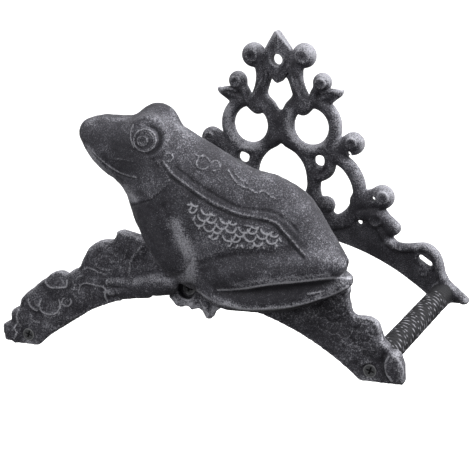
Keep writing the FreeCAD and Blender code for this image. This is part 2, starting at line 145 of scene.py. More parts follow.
def curve_through(points: np.ndarray, steps: int = 6, closed: bool = False) -> np.ndarray:
    """A smooth line through points: each stretch is a cubic whose slopes are half the neighbours' difference.

    Args:
        points: rows of any width.
        steps: samples for each stretch.
        closed: whether the last point joins the first.

    Returns:
        Rows along the line, both ends included.
    """
    points = np.asarray(points, dtype=float)
    if closed:
        padded = np.concatenate([points[-1:], points, points[:2]])
    else:
        padded = np.concatenate([2 * points[:1] - points[1:2], points, 2 * points[-1:] - points[-2:-1]])
    before, start, end, after = padded[:-3], padded[1:-2], padded[2:-1], padded[3:]
    t = (np.arange(steps) / steps)[None, :, None]
    a, b, c, d = (item[:, None, :] for item in (before, start, end, after))
    square, cube = 2 * a - 5 * b + 4 * c - d, 3 * b - a - 3 * c + d
    line = 0.5 * (2 * b + (c - a) * t + square * t ** 2 + cube * t ** 3)
    line = line.reshape(-1, points.shape[1])
    return np.concatenate([line, padded[-2:-1]])


def to_line(u: np.ndarray, v: np.ndarray, line: np.ndarray) -> tuple[np.ndarray, np.ndarray]:
    """Distance from points to a broken line, the least over its stretches of the distance to each.

    Args:
        u: first coordinates, any shape.
        v: second coordinates, of a shape that broadcasts with u.
        line: rows of (u, v) along the line, with any further columns.

    Returns:
        The distance, and the line's fractional row number at the nearest point.
    """
    best = np.full(np.broadcast_shapes(u.shape, v.shape), 1e9)
    row = np.zeros_like(best)
    for index in range(len(line) - 1):
        start, way = line[index, :2], line[index + 1, :2] - line[index, :2]
        share = ((u - start[0]) * way[0] + (v - start[1]) * way[1]) / max(float(way @ way), 1e-9)
        share = np.clip(share, 0.0, 1.0)
        gap = np.hypot(u - start[0] - share * way[0], v - start[1] - share * way[1])
        nearer = gap < best
        best = np.where(nearer, gap, best)
        row = np.where(nearer, index + share, row)
    return best, row


def within(u: np.ndarray, v: np.ndarray, line: np.ndarray) -> np.ndarray:
    """Whether points lie inside a closed broken line: a ray from each crosses it an odd number of times."""
    inside = np.zeros(np.broadcast_shapes(u.shape, v.shape), dtype=bool)
    for (u1, v1), (u2, v2) in zip(line[:-1], line[1:]):
        if v1 != v2:
            spans = (v < v1) != (v < v2)
            inside ^= spans & (u < u1 + (v - v1) * (u2 - u1) / (v2 - v1))
    return inside


def ellipse(*axes: tuple[np.ndarray, float]) -> np.ndarray:
    """About the distance to an ellipse or ellipsoid: its own equation less one, over that equation's slope.

    Args:
        axes: for each axis, the offsets along it and the half size.

    Returns:
        The field, negative inside.
    """
    ratio = np.sqrt(sum((away / half) ** 2 for away, half in axes)) + 1e-6
    slope = np.sqrt(sum((away / half ** 2) ** 2 for away, half in axes)) + 1e-6
    return ratio * (ratio - 1.0) / slope


class Block:
    """A block of space, sampled on a regular grid, in which one casting's field is worked out."""

    def __init__(self, low: Triple, high: Triple, step: float) -> None:
        """Make an empty block.

        Args:
            low: least (x, out, z) in mm.
            high: greatest (x, out, z) in mm.
            step: spacing of the samples in mm.
        """
        self.low = np.array(low, dtype=float)
        self.step = step
        counts = np.ceil((np.array(high) - self.low) / step).astype(int) + 1
        axes = [self.low[axis] + step * np.arange(counts[axis]) for axis in range(3)]
        self.x = axes[0][:, None, None]
        self.out = axes[1][None, :, None]
        self.z = axes[2][None, None, :]
        self.metal = np.full(tuple(counts), 60.0)

    def add(self, shape: np.ndarray, blend: float = 1.0) -> None:
        """Join a shape to the metal."""
        self.metal = soft_min(self.metal, shape, blend)

    def cut(self, tool: np.ndarray, blend: float = 0.5) -> None:
        """Take a shape away from the metal."""
        self.metal = -soft_min(-self.metal, tool, blend)

    def disc(self, x: float, z: float, radius: float) -> np.ndarray:
        """Signed distance in the plane to a circle."""
        return np.hypot(self.x - x, self.z - z) - radius

    def under_arch(self) -> np.ndarray:
        """Distance in the plane from the plates' lower arc, positive below it."""
        return ARCH_RADIUS - np.hypot(self.x, self.z + ARCH_DROP)

    def line(self, points: tuple[Pair, ...]) -> np.ndarray:
        """Distance in the plane to a smooth line through points."""
        return to_line(self.x, self.z, curve_through(points))[0]

    def polygon(self, points: np.ndarray) -> np.ndarray:
        """Signed distance in the plane to a polygon: to its edges, negative inside."""
        line = np.concatenate([points, points[:1]])
        gap = to_line(self.x, self.z, line)[0]
        return np.where(within(self.x, self.z, line), -gap, gap)

    def rounded(self, points: tuple[Pair, ...], steps: int = 4) -> np.ndarray:
        """Signed distance in the plane to the smooth closed outline through points."""
        return self.polygon(curve_through(points, steps, True)[:-1])

    def slab(self, outline: np.ndarray, front: np.ndarray | float, edge: float) -> np.ndarray:
        """A plate of a plane outline: the rounded corner of edge distance and height above the front.

        Its rear lies 4 mm behind the casting's own rear face, which is cut later.

        Args:
            outline: signed distance in the plane.
            front: height of the front face.
            edge: radius of the rounded front edge.

        Returns:
            The plate's field.
        """
        side = outline + edge
        above = self.out - front + edge
        round_edge = np.minimum(np.maximum(side, above), 0.0) - edge
        round_edge = round_edge + np.hypot(np.maximum(side, 0.0), np.maximum(above, 0.0))
        return np.maximum(round_edge, -4.0 - self.out)

    def bead(self, gap: np.ndarray, half: float, front: float, base: float = 3.0) -> np.ndarray:
        """A half-round moulding: an ellipse about the line, half wide, rising from base to front.

        Args:
            gap: distance in the plane to its middle line.
            half: half width.
            front: height of its crest.
            base: height from which it is rounded, below which its sides are straight.

        Returns:
            The moulding's field.
        """
        return ellipse((gap, half), (np.maximum(self.out - base, 0.0), front - base))

    def lump(self, place: Triple, radii: Triple, tilt: float = 0.0) -> np.ndarray:
        """An ellipsoid whose first axis is turned up by tilt degrees in the plane.

        Args:
            place: its middle as (x, out, z).
            radii: half sizes along its length, out and up.
            tilt: rise of its right end.

        Returns:
            The lump's field.
        """
        c, s = math.cos(math.radians(tilt)), math.sin(math.radians(tilt))
        dx, dz = self.x - place[0], self.z - place[2]
        along, rise = dx * c + dz * s, dz * c - dx * s
        return ellipse((along, radii[0]), (self.out - place[1], radii[1]), (rise, radii[2]))

    def limb(self, points: list[tuple[float, float, float, float]], deep: float = 1.0) -> np.ndarray:
        """A chain of tapers through rows of (x, out, z, radius); deep stretches it out of the plane.

        Args:
            points: rows of the chain.
            deep: how many times deeper than high it is.

        Returns:
            The limb's field.
        """
        chain = curve_through(points, steps=3)
        result = None
        for start, end in zip(chain[:-1], chain[1:]):
            way = (end - start)[:3] * np.array([1.0, 1.0 / deep, 1.0])
            dx, dy, dz = self.x - start[0], (self.out - start[1]) / deep, self.z - start[2]
            share = (dx * way[0] + dy * way[1] + dz * way[2]) / max(float(way @ way), 1e-9)
            share = np.clip(share, 0.0, 1.0)
            dx, dy, dz = dx - share * way[0], dy - share * way[1], dz - share * way[2]
            part = np.sqrt(dx ** 2 + dy ** 2 + dz ** 2) - (start[3] + (end[3] - start[3]) * share)
            result = part if result is None else soft_min(result, part, 1.5)
        return result

    def ripple(self, size: float, height: float) -> np.ndarray:
        """Gentle unevenness of a sand casting: products of sines along turned and bent axes.

        Args:
            size: about the distance between its humps in mm.
            height: how far they stand out.

        Returns:
            The unevenness, to be added to the field.
        """
        k = 2 * np.pi / size
        a = 0.82 * self.x + 0.43 * self.out + 0.38 * self.z
        b = -0.51 * self.x + 0.30 * self.out + 0.80 * self.z
        bend = 0.9 * np.sin(0.41 * k * b + 1.3) + 0.7 * np.sin(0.57 * k * a)
        rough = np.sin(k * a + bend) * np.sin(0.93 * k * b + 1.4 * bend)
        rough += 0.5 * np.sin(2.1 * k * b + 2.0 * bend) * np.sin(1.9 * k * a - bend)
        return height * rough * np.clip((self.out - 4.0) / 3.0, 0.0, 1.0)

    def openness(self, radius: float) -> np.ndarray:
        """Share of metal in a cube about each sample: running sums of the filled share along each axis.

        Args:
            radius: half the cube's side in mm.

        Returns:
            0.5 on a flat face, less on a convex edge and more in a hollow.
        """
        filled = np.clip(0.5 - self.metal / (2.0 * self.step), 0.0, 1.0)
        reach = max(int(round(radius / self.step)), 1)
        for axis in range(3):
            pad = [(0, 0)] * 3
            pad[axis] = (reach + 1, reach)
            total = np.cumsum(np.pad(filled, pad, mode="edge"), axis=axis)
            last = np.take(total, np.arange(2 * reach + 1, total.shape[axis]), axis=axis)
            first = np.take(total, np.arange(0, total.shape[axis] - 2 * reach - 1), axis=axis)
            filled = (last - first) / (2 * reach + 1)
        return filled

    def sample(self, grid: np.ndarray, points: np.ndarray) -> np.ndarray:
        """Values of a grid at points, weighted by nearness to the eight samples around each.

        Args:
            grid: one value for each sample.
            points: rows of (x, out, z).

        Returns:
            One value for each point.
        """
        place = (points - self.low) / self.step
        cell = np.clip(np.floor(place).astype(int), 0, np.array(grid.shape) - 2)
        share = place - cell
        result = np.zeros(len(points))
        for corner in np.ndindex(2, 2, 2):
            weight = np.prod(np.where(np.array(corner) == 1, share, 1.0 - share), axis=1)
            result += weight * grid[tuple((cell + corner).T)]
        return result

    def skin(self) -> tuple[np.ndarray, np.ndarray]:
        """The zero surface as quads: a point in each cell that it crosses, at the mean of its crossings.

        Returns:
            Points as rows of (x, out, z), and quads that face outwards once out is turned over.
        """
        inside = self.metal < 0.0
        shape = np.array(inside.shape) - 1
        corners = list(np.ndindex(2, 2, 2))
        parts = [inside[a:a + shape[0], b:b + shape[1], c:c + shape[2]] for a, b, c in corners]
        total = sum(part.astype(np.int8) for part in parts)
        active = (total > 0) & (total < 8)
        cells = np.argwhere(active)
        number = np.full(tuple(shape), -1)
        number[active] = np.arange(len(cells))
        values = {corner: self.metal[tuple((cells + corner).T)] for corner in corners}
        place, count = np.zeros((len(cells), 3)), np.zeros(len(cells))
        for first in corners:
            for axis in range(3):
                if first[axis] == 1:
                    continue
                second = tuple(1 if item == axis else first[item] for item in range(3))
                a, b = values[first], values[second]
                crossed = (a < 0) != (b < 0)
                share = np.where(crossed, a / np.where(crossed, a - b, 1.0), 0.0)
                point = np.array(first) + share[:, None] * (np.array(second) - np.array(first))
                place += np.where(crossed[:, None], point, 0.0)
                count += crossed
        points = (cells + place / count[:, None]) * self.step + self.low
        quads = []
        for axis in range(3):
            one, two = (axis + 1) % 3, (axis + 2) % 3
            low = [slice(1, -1)] * 3
            low[axis] = slice(0, -1)
            high = list(low)
            high[axis] = slice(1, None)
            a, b = inside[tuple(low)], inside[tuple(high)]
            edges = np.argwhere(a != b)
            edges += np.array([0 if item == axis else 1 for item in range(3)])
            ring = []
            for back_one, back_two in ((0, 0), (0, 1), (1, 1), (1, 0)):
                shift = np.zeros(3, dtype=int)
                shift[one], shift[two] = back_one, back_two
                ring.append(number[tuple((edges - shift).T)])
            quad = np.stack(ring, axis=1)
            leaving = inside[tuple(edges.T)]
            quad[~leaving] = quad[~leaving][:, ::-1]
            quads.append(quad)
        return points, np.concatenate(quads)


# Relief drawn on a surface


@dataclass(frozen=True)
class Stroke:
    """A raised or sunk line on a casting, placed by the pixels that it covers in the photograph."""

    points: tuple[Pair, ...]
    width: float = 1.3
    lift: float = 0.5
    # Above nought a pale line, partly worn paint and partly painted highlight; below nought painted shade
    # along a sunk line.
    wear_and_shading: float = 0.5

    def weight(self, u: np.ndarray, v: np.ndarray) -> np.ndarray:
        """How strongly each pixel place is covered: a bell curve of the distance to the line."""
        line = curve_through(self.points)
        result = np.zeros(len(u))
        reach = 3.0 * self.width
        low, high = line.min(0) - reach, line.max(0) + reach
        near = (u > low[0]) & (u < high[0]) & (v > low[1]) & (v < high[1])
        gap = to_line(u[near], v[near], line)[0]
        result[near] = np.exp(-((gap / self.width) ** 2))
        return result


@dataclass(frozen=True)
class WearAndShadingPatch:
    """A broad soft patch that is painted paler or darker, placed by the pixels that it covers: partly worn
    paint, partly painted light where lit and painted shade where shaded.
    """

    points: tuple[Pair, ...]
    width: float
    # Above nought paler, partly worn paint and partly painted light; below nought darker, as painted shade.
    rub_and_shading: float
    lift: float = 0.0
    wear_and_shading: float = 0.0

    def weight(self, u: np.ndarray, v: np.ndarray) -> np.ndarray:
        """How strongly each pixel place is covered: a bell curve of the distance to the line."""
        return Stroke(self.points, self.width).weight(u, v)


@dataclass(frozen=True)
class Ring:
    """A raised or sunk circle or arc, placed by the pixels that it covers."""

    middle: Pair
    radius: float
    width: float = 1.2
    lift: float = 0.5
    # As for a stroke: pale above nought, partly painted highlight; painted shade below nought.
    wear_and_shading: float = 0.5
    start: float = 0.0
    turn: float = 360.0

    def weight(self, u: np.ndarray, v: np.ndarray) -> np.ndarray:
        """A bell curve of the distance to the circle, faded out past the arc's ends."""
        dx, dy = u - self.middle[0], self.middle[1] - v
        gap = np.abs(np.hypot(dx, dy) - self.radius)
        angle = np.mod(np.degrees(np.arctan2(dy, dx)) - self.start, 360.0)
        past = np.minimum(angle - self.turn, 360.0 - angle) if self.turn < 360.0 else np.full(len(u), -1.0)
        fade = np.exp(-((np.maximum(past, 0.0) / 12.0) ** 2))
        return np.exp(-((gap / self.width) ** 2)) * fade


@dataclass(frozen=True)
class Scales:
    """A patch of overlapping scales: staggered rows of U-shaped ridges."""

    origin: Pair = (178.0, 193.0)
    across: Pair = (9.4, 4.6)
    down: Pair = (1.4, 8.6)
    patch: tuple[Pair, ...] = (
        (186, 201), (193, 203), (202, 208), (220, 217), (240, 224), (262, 227), (276, 232), (283, 240),
        (276, 249), (254, 249), (232, 248), (214, 241), (200, 232), (190, 216))
    radius: float = 5.4
    width: float = 0.9
    lift: float = 0.8
    # As for a stroke: pale above nought, partly painted highlight; painted shade below nought.
    wear_and_shading: float = 1.25

    def weight(self, u: np.ndarray, v: np.ndarray) -> np.ndarray:
        """Bell curve of the distance to the lower half circle of the nearest scales, inside the patch."""
        basis = np.array([self.across, self.down]).T
        rel = np.stack([u - self.origin[0], v - self.origin[1]])
        place = np.linalg.inv(basis) @ rel
        result = np.zeros(len(u))
        row0 = np.round(place[1])
        for row_shift in (-1, 0, 1):
            row = row0 + row_shift
            half = 0.5 * np.mod(row, 2)
            column0 = np.round(place[0] - half)
            for column_shift in (-1, 0, 1):
                column = column0 + column_shift + half
                jitter = np.sin(12.9 * row + 78.2 * column)
                middle = basis @ np.stack([column + 0.14 * jitter, row + 0.13 * np.cos(37.0 * jitter)])
                dx, dy = rel[0] - middle[0], rel[1] - middle[1]
                size = self.radius * (1.0 + 0.16 * jitter)
                gap = np.abs(np.hypot(dx, dy * 0.95) - size)
                lower = 1.0 / (1.0 + np.exp(-(dy - 0.05 * size) * 1.6))
                result = np.maximum(result, np.exp(-((gap / self.width) ** 2)) * lower)
        line = np.array(self.patch + self.patch[:1], dtype=float)
        edge = to_line(u, v, line)[0]
        edge = np.where(within(u, v, line), edge, -edge)
        return result * np.clip(edge / 2.5 + 0.5, 0.0, 1.0)


Mark = Stroke | WearAndShadingPatch | Ring | Scales


# Meshes


def mesh_normals(points: np.ndarray, faces: np.ndarray) -> np.ndarray:
    """Unit normals at the points: the sum, over the faces round each, of their sides' cross product."""
    last = points[faces[:, -1]]
    face = np.cross(points[faces[:, 2]] - points[faces[:, 0]], last - points[faces[:, 1]])
    if faces.shape[1] == 3:
        face = np.cross(points[faces[:, 1]] - points[faces[:, 0]], last - points[faces[:, 0]])
    total = np.stack([
        sum(np.bincount(faces[:, corner], face[:, axis], len(points)) for corner in range(faces.shape[1]))
        for axis in range(3)
    ], axis=1)
    return total / np.maximum(np.linalg.norm(total, axis=1), 1e-12)[:, None]


def thin_out(points: np.ndarray, quads: np.ndarray, coarse: np.ndarray,
             limit: int) -> tuple[np.ndarray, np.ndarray]:
    """Bring a mesh under a number of triangles, mostly where coarse is high.

    Args:
        points: its points.
        quads: its faces.
        coarse: for each point, from 0, keep it fine, to 1.
        limit: the most triangles.

    Returns:
        Points and triangles, or the mesh as it was if it is small enough.
    """
    if 2 * len(quads) <= limit:
        return points, quads
    mesh = bpy.data.meshes.new("draft")
    fill_mesh(mesh, points, quads)
    draft = bpy.data.objects.new("draft", mesh)
    bpy.context.scene.collection.objects.link(draft)
    group = draft.vertex_groups.new(name="coarse")
    level = np.round(np.clip(coarse, 0.02, 1.0), 1)
    for value in np.unique(level):
        group.add(np.flatnonzero(level == value).tolist(), float(max(value, 0.02)), "REPLACE")
    thin = draft.modifiers.new("thin", "DECIMATE")
    thin.ratio = limit / (2.0 * len(quads))
    thin.use_collapse_triangulate = True
    thin.vertex_group = group.name
    thin.vertex_group_factor = 20.0
    result = bpy.data.meshes.new_from_object(draft.evaluated_get(bpy.context.evaluated_depsgraph_get()))
    place = np.empty(len(result.vertices) * 3, dtype=np.float32)
    result.vertices.foreach_get("co", place)
    corners = np.empty(len(result.loops), dtype=np.int32)
    result.loops.foreach_get("vertex_index", corners)
    bpy.data.objects.remove(draft)
    bpy.data.meshes.remove(mesh)
    bpy.data.meshes.remove(result)
    return place.reshape(-1, 3).astype(float), corners.reshape(-1, 3)


def fill_mesh(mesh: bpy.types.Mesh, points: np.ndarray, faces: np.ndarray) -> None:
    """Put points and faces of one size into an empty mesh."""
    mesh.vertices.add(len(points))
    mesh.vertices.foreach_set("co", points.astype(np.float32).ravel())
    mesh.loops.add(faces.size)
    mesh.loops.foreach_set("vertex_index", faces.astype(np.int32).ravel())
    mesh.polygons.add(len(faces))
    mesh.polygons.foreach_set("loop_start", np.arange(0, faces.size, faces.shape[1], dtype=np.int32))
    mesh.update(calc_edges=True)


def relax(points: np.ndarray, quads: np.ndarray, share: float = 0.5) -> np.ndarray:
    """Even out grid marks: each point moves by share of the way to the mean of its neighbours."""
    total, count = np.zeros_like(points), np.zeros(len(points))
    for corner in range(4):
        here, there = quads[:, corner], quads[:, (corner + 1) % 4]
        for a, b in ((here, there), (there, here)):
            count += np.bincount(a, minlength=len(points))
            for axis in range(3):
                total[:, axis] += np.bincount(a, points[b, axis], len(points))
    return points + share * (total / count[:, None] - points)


@dataclass
class Surface:
    """A finished surface in mm, in (x, y, z) with y into the wall and z from the floor."""

    name: str
    points: np.ndarray
    faces: np.ndarray
    marks: dict[str, np.ndarray] = field(default_factory=dict)

    def build(self, nodes: tuple[str, ...], slot: str, finish: bpy.types.Material) -> bpy.types.Object:
        """Make the Blender object, let it stand for its CAD nodes and dress it.

        Args:
            nodes: the CAD nodes that it replaces.
            slot: not used.
            finish: its material.

        Returns:
            The object, at the origin with its place in its mesh.
        """
        mesh = bpy.data.meshes.new(self.name)
        place = (self.points - np.array([0.0, 0.0, HOLE_HEIGHT])) / 1000.0
        fill_mesh(mesh, place, self.faces)
        for name, values in self.marks.items():
            layer = mesh.attributes.new(name, "FLOAT", "POINT")
            layer.data.foreach_set("value", values.astype(np.float32))
        mesh.shade_smooth()
        mesh.materials.append(finish)
        piece = bpy.data.objects.new(self.name, mesh)
        bpy.context.scene.collection.objects.link(piece)
        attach(piece, "root")
        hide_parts(*nodes)
        LOG.info("%s: %d faces", self.name, len(self.faces))
        return piece


def casting(name: str, block: Block, rear: float, relief: tuple[Mark, ...], base: float = 0.0,
            sides: float = 0.0) -> Surface:
    """Turn a block's field into a surface with its relief, its worn paint and its painted light and shade.

    The marks are edge, how far the metal stands proud; a painted shade, how deep the metal and its sunk lines
    lie;
    line, how strongly the relief covers it; and how much pale paint is put on. That is partly worn paint and
    partly
    painted light and shade: faces that look up and sideways are painted paler, as if lit, and patches paler
    or darker.

    Args:
        name: the piece's name.
        block: the casting's field.
        rear: distance of the block's out = 0 from the wall.
        relief: strokes, rings, patches of scales and patches of worn paint and painted light and shade.
        base: how much more paint it all takes.
        sides: how much paler the faces that look sideways are painted, as painted light.

    Returns:
        The surface.
    """
    points, faces = block.skin()
    points = relax(points, faces)
    rear_side = np.clip(-mesh_normals(points * MIRROR, faces) @ np.array(VIEW.forward) * -3.0 + 0.3, 0.0, 1.0)
    points, faces = thin_out(points, faces, rear_side, TRIANGLE_LIMIT)
    fine, wide = block.openness(1.2), block.openness(4.5)
    edge = np.clip((0.5 - block.sample(fine, points)) * 3.2, 0.0, 1.0)
    broad = block.sample(wide, points)
    edge = np.clip(edge + np.clip((0.42 - broad) * 1.6, 0.0, 0.6), 0.0, 1.0)
    # Painted shade: darker where the metal lies deep in a hollow.
    painted_shade = np.clip((broad - 0.54) * 4.0, 0.0, 1.0)
    points = points * MIRROR - np.array([0.0, rear, 0.0])
    normals = mesh_normals(points, faces)
    u, v = VIEW.pixels(points).T
    sight = np.array(VIEW.eye) - points
    facing = np.einsum("ij,ij->i", normals, sight)
    facing = np.clip(facing / np.linalg.norm(sight, axis=1) * 3.0, 0.0, 1.0)
    lift, line = np.zeros(len(points)), np.zeros(len(points))
    # Painted light: faces that look up take more pale paint, as if lit, and so do faces that look sideways,
    # by the amount sides. The amount base is added all over.
    rub_and_shading = base + 0.25 * normals[:, 2] + sides * (1.0 - normals[:, 1] ** 2) ** 2
    for item in relief:
        share = item.weight(u, v) * facing
        lift += item.lift * share
        # The strongest relief line wins: pale above nought, partly worn paint and partly painted highlight;
        # below nought, painted shade.
        line = np.where(np.abs(item.wear_and_shading * share) > np.abs(line), item.wear_and_shading * share, line)
        # Broad patches make the paint paler where positive and darker where negative: partly worn paint,
        # partly painted light and shade.
        rub_and_shading += getattr(item, "rub_and_shading", 0.0) * share
    points = points + normals * lift[:, None]
    # Sunk relief lines are darkened as painted shade as well.
    painted_shade = np.clip(painted_shade + np.clip(-line, 0, 1), 0, 1)
    marks = {"edge": edge, "painted_shade": painted_shade, "line": np.clip(line, 0, 1.2), "rub_and_shading": np.clip(rub_and_shading, -1.2, 1.6)}
    return Surface(name, points, faces, marks)


# Castings


def lens(block: Block, x: float, z: float, half: float, rise: float) -> np.ndarray:
    """Signed distance in the plane to a pointed oval, the overlap of two large circles.

    Args:
        block: the space that it is worked out in.
        x: middle, to the right.
        z: middle, height.
        half: half width.
        rise: half height.

    Returns:
        The field in the plane.
    """
    radius = (rise ** 2 + half ** 2) / (2 * half)
    shift = radius - half
    return np.maximum(block.disc(x - shift, z, radius), block.disc(x + shift, z, radius))


def arch(block: Block, upper_radius: float, upper_drop: float) -> np.ndarray:
    """Signed distance in the plane to a band between two arcs centred below, cut off at the feet."""
    band = np.maximum(block.disc(0.0, -upper_drop, upper_radius), block.under_arch())
    return np.maximum(band, FOOT_LIFT - block.z)


@dataclass(frozen=True)
class Strand:
    """A half-round strand of the scrollwork: its middle line, half width and height."""

    points: tuple[Pair, ...]
    half: float
    high: float


@dataclass
class BackPlate:
    """The scrollwork plate on the wall: webs, half-round strands, balls, leaves and a bud at the top."""

    step: float = 0.8
    web: float = 4.8
    ring: tuple[float, float, float, float] = (24.5, 130.1, 14.2, 9.6)
    oval: tuple[float, float, float, float, float] = (43.4, 82.5, 13.3, 19.6, 9.6)
    centre: tuple[float, float, float, float, float] = (0.0, 90.6, 21.0, 25.8, 8.6)
    rim: tuple[Pair, ...] = (
        (79.0, 53.6), (82.6, 47.2), (90.0, 41.2), (99.0, 40.8), (107.0, 42.0), (113.8, 41.8), (119.6, 37.4),
        (122.4, 30.6), (124.0, 23.0), (128.0, 15.6), (134.6, 9.6), (141.6, 3.6))
    strands: tuple[Strand, ...] = (
        Strand(((2.2, 134.5), (6.6, 142.4), (11.8, 149.0), (15.4, 155.0)), 3.6, 7.6),
        Strand(((14.4, 179.0), (13.2, 167.6), (14.8, 159.0), (17.6, 151.5), (18.0, 144.6)), 5.3, 8.6),
        Strand(((32.5, 160.5), (28.6, 156.4), (26.7, 151.0), (23.8, 145.9), (19.4, 143.4)), 3.5, 8.8),
        Strand(((5.5, 117.5), (14.0, 112.6), (20.4, 105.0), (23.4, 97.0), (24.9, 86.3), (27.4, 74.8),
                (34.0, 63.6)), 4.2, 7.8),
        Strand(((21.8, 110.4), (29.0, 112.6), (36.4, 110.0), (39.8, 103.0), (37.6, 95.6), (31.6, 91.8),
                (25.0, 91.8)), 3.4, 8.2),
        Strand(((38.4, 112.6), (46.4, 107.6), (54.4, 99.0), (60.0, 88.3), (61.8, 76.9), (58.6, 65.2),
                (50.2, 57.4), (40.2, 56.0), (33.0, 60.4)), 4.4, 8.0),
        Strand(((44.0, 113.0), (50.0, 115.6), (56.0, 117.6)), 7.4, 8.0),
        Strand(((0.0, 121.5), (0.0, 130.0), (0.0, 137.0)), 5.0, 7.4),
        Strand(((62.0, 74.4), (68.0, 75.4), (76.0, 77.0)), 8.2, 8.0),
        Strand(((62.0, 64.6), (70.6, 66.4), (78.4, 64.2), (83.8, 59.6), (88.4, 55.6)), 5.0, 8.6),
    )
    balls: tuple[tuple[float, float, float, float], ...] = (
        (20.2, 183.3, 9.4, 10.0), (34.0, 163.6, 7.2, 9.4), (57.4, 118.4, 8.6, 9.6), (35.0, 70.2, 6.7, 9.4),
        (79.4, 78.8, 9.2, 9.6), (18.2, 144.0, 5.8, 9.0), (74.6, 62.8, 8.8, 9.2), (85.4, 55.0, 6.2, 8.2))
    eyes: tuple[Triple, ...] = (
        (20.2, 183.0, 4.6), (34.2, 163.4, 3.4), (57.4, 119.4, 3.6), (81.0, 79.4, 4.0), (75.6, 62.4, 4.2))
    pins: tuple[Triple, ...] = ((54.8, 111.5, 1.9), (73.4, 78.0, 2.0), (61.7, 58.6, 1.9))
    eyelet: Triple = (31.1, 104.4, 4.3)
    webs: tuple[Triple, ...] = ((0.0, 154.5, 15.6), (28.0, 104.0, 13.0), (67.0, 70.0, 9.0))
    bosses: tuple[tuple[float, ...], ...] = (
        (0.0, TOP_BAR, 11.0, 8.0, 1.2, 1.0), (BAR_SPREAD, SIDE_BAR, 9.2, 8.0, 1.0, 0.8),
        (111.8, 24.2, 4.2, 6.6, 1.4, 1.4))
    slot_place: Pair = (112.4, 32.4)
    slot_length: float = 12.0
    slot_radius: float = 2.2
    slot_tilt: float = -35.0
    hole_radius: float = 4.4
    tip: float = 202.4
    heart: tuple[Pair, ...] = (
        (0.0, 140.9), (4.6, 147.5), (8.0, 150.8), (10.5, 154.6), (8.4, 161.2), (5.4, 167.0), (0.0, 169.0),
        (-5.4, 167.0), (-8.4, 161.2), (-10.5, 154.6), (-8.0, 150.8), (-4.6, 147.5))
    bud: tuple[Pair, ...] = (
        (0.0, 202.3), (3.8, 198.0), (7.6, 192.6), (11.0, 187.0), (12.0, 180.0), (8.4, 171.6), (0.0, 162.8),
        (-8.4, 171.6), (-12.0, 180.0), (-11.0, 187.0), (-7.6, 192.6), (-3.8, 198.0))
    leaf: tuple[Pair, ...] = (
        (26.0, 156.6), (31.0, 156.0), (36.6, 157.6), (41.6, 159.0), (47.0, 157.6), (50.4, 158.4),
        (49.4, 154.2), (44.4, 150.4), (38.0, 146.0), (30.0, 146.0))

    def plate(self) -> Block:
        """Work out the right half's field and mirror it."""
        block = Block((0.0, -1.6, -0.8), (148.8, 11.2, 204.0), self.step)
        outline = soft_min(arch(block, 181.4, 110.3), block.disc(110.2, 29.8, 14.4), 4.0)
        outline = np.maximum(outline, block.polygon(self.under_rim()) - 0.4)
        for shape in self.backing(block):
            outline = soft_min(outline, shape, 1.5)
        outline = np.maximum(outline, -self.openings(block))
        block.add(block.slab(outline, self.web, 1.6), 0.1)
        self.mouldings(block)
        self.ornaments(block)
        block.cut(block.disc(0.0, HOLE_HEIGHT, self.hole_radius), 0.6)
        block.cut(block.disc(*self.eyelet), 1.6)
        for pin in self.pins:
            block.cut(block.disc(*pin), 0.6)
        block.cut(self.slot(block), 0.8)
        for x, z in ((0.0, TOP_BAR), (BAR_SPREAD, SIDE_BAR)):
            block.cut(block.disc(x, z, BORE), 0.1)
            cone = (block.disc(x, z, 5.4) + np.maximum(block.out, 0.0)) * 0.7
            block.cut(np.maximum(cone, block.out - 4.2), 0.1)
        block.metal = np.maximum(block.metal + block.ripple(8.0, 0.1), -block.out)
        block.metal = np.maximum(block.metal, np.maximum(FOOT_LIFT - block.z, block.z - self.tip))
        block.metal = np.concatenate([block.metal[:0:-1], block.metal])
        block.low[0] = -block.step * (block.metal.shape[0] // 2)
        return block

    def under_rim(self) -> np.ndarray:
        """The region below the rim moulding's outer side, as a polygon."""
        line = curve_through(self.rim)
        slope = np.gradient(line, axis=0)
        slope /= np.linalg.norm(slope, axis=1)[:, None]
        outer = line + np.stack([-slope[:, 1], slope[:, 0]], axis=1) * 3.4
        above = [(-20.0, 90.0), (70.0, 90.0)]
        below = [(147.6, 1.0), (150.0, -20.0), (-20.0, -20.0)]
        return np.concatenate([above, outer, below])

    def backing(self, block: Block) -> list[np.ndarray]:
        """The flat shapes behind the strands."""
        x, z, hole, band = self.ring
        *oval, oval_band = self.oval
        *centre, centre_band = self.centre
        shapes = [block.disc(x, z, hole + band), lens(block, *oval) - oval_band,
                  lens(block, *centre) - centre_band]
        return shapes + [block.disc(*web) for web in self.webs]

    def openings(self, block: Block) -> np.ndarray:
        """The large openings in one field."""
        result = block.disc(*self.ring[:3])
        for shape in (lens(block, *self.oval[:4]), lens(block, *self.centre[:4]), block.disc(*self.eyelet)):
            result = np.minimum(result, shape)
        return np.minimum(result, block.rounded(self.heart))

    def slot(self, block: Block) -> np.ndarray:
        """The slanted fixing slot."""
        tilt = math.radians(self.slot_tilt)
        reach = self.slot_length / 2 - self.slot_radius
        way = np.array([math.cos(tilt), math.sin(tilt)]) * reach
        ends = np.array([self.slot_place - way, self.slot_place + way])
        return to_line(block.x, block.z, ends)[0] - self.slot_radius

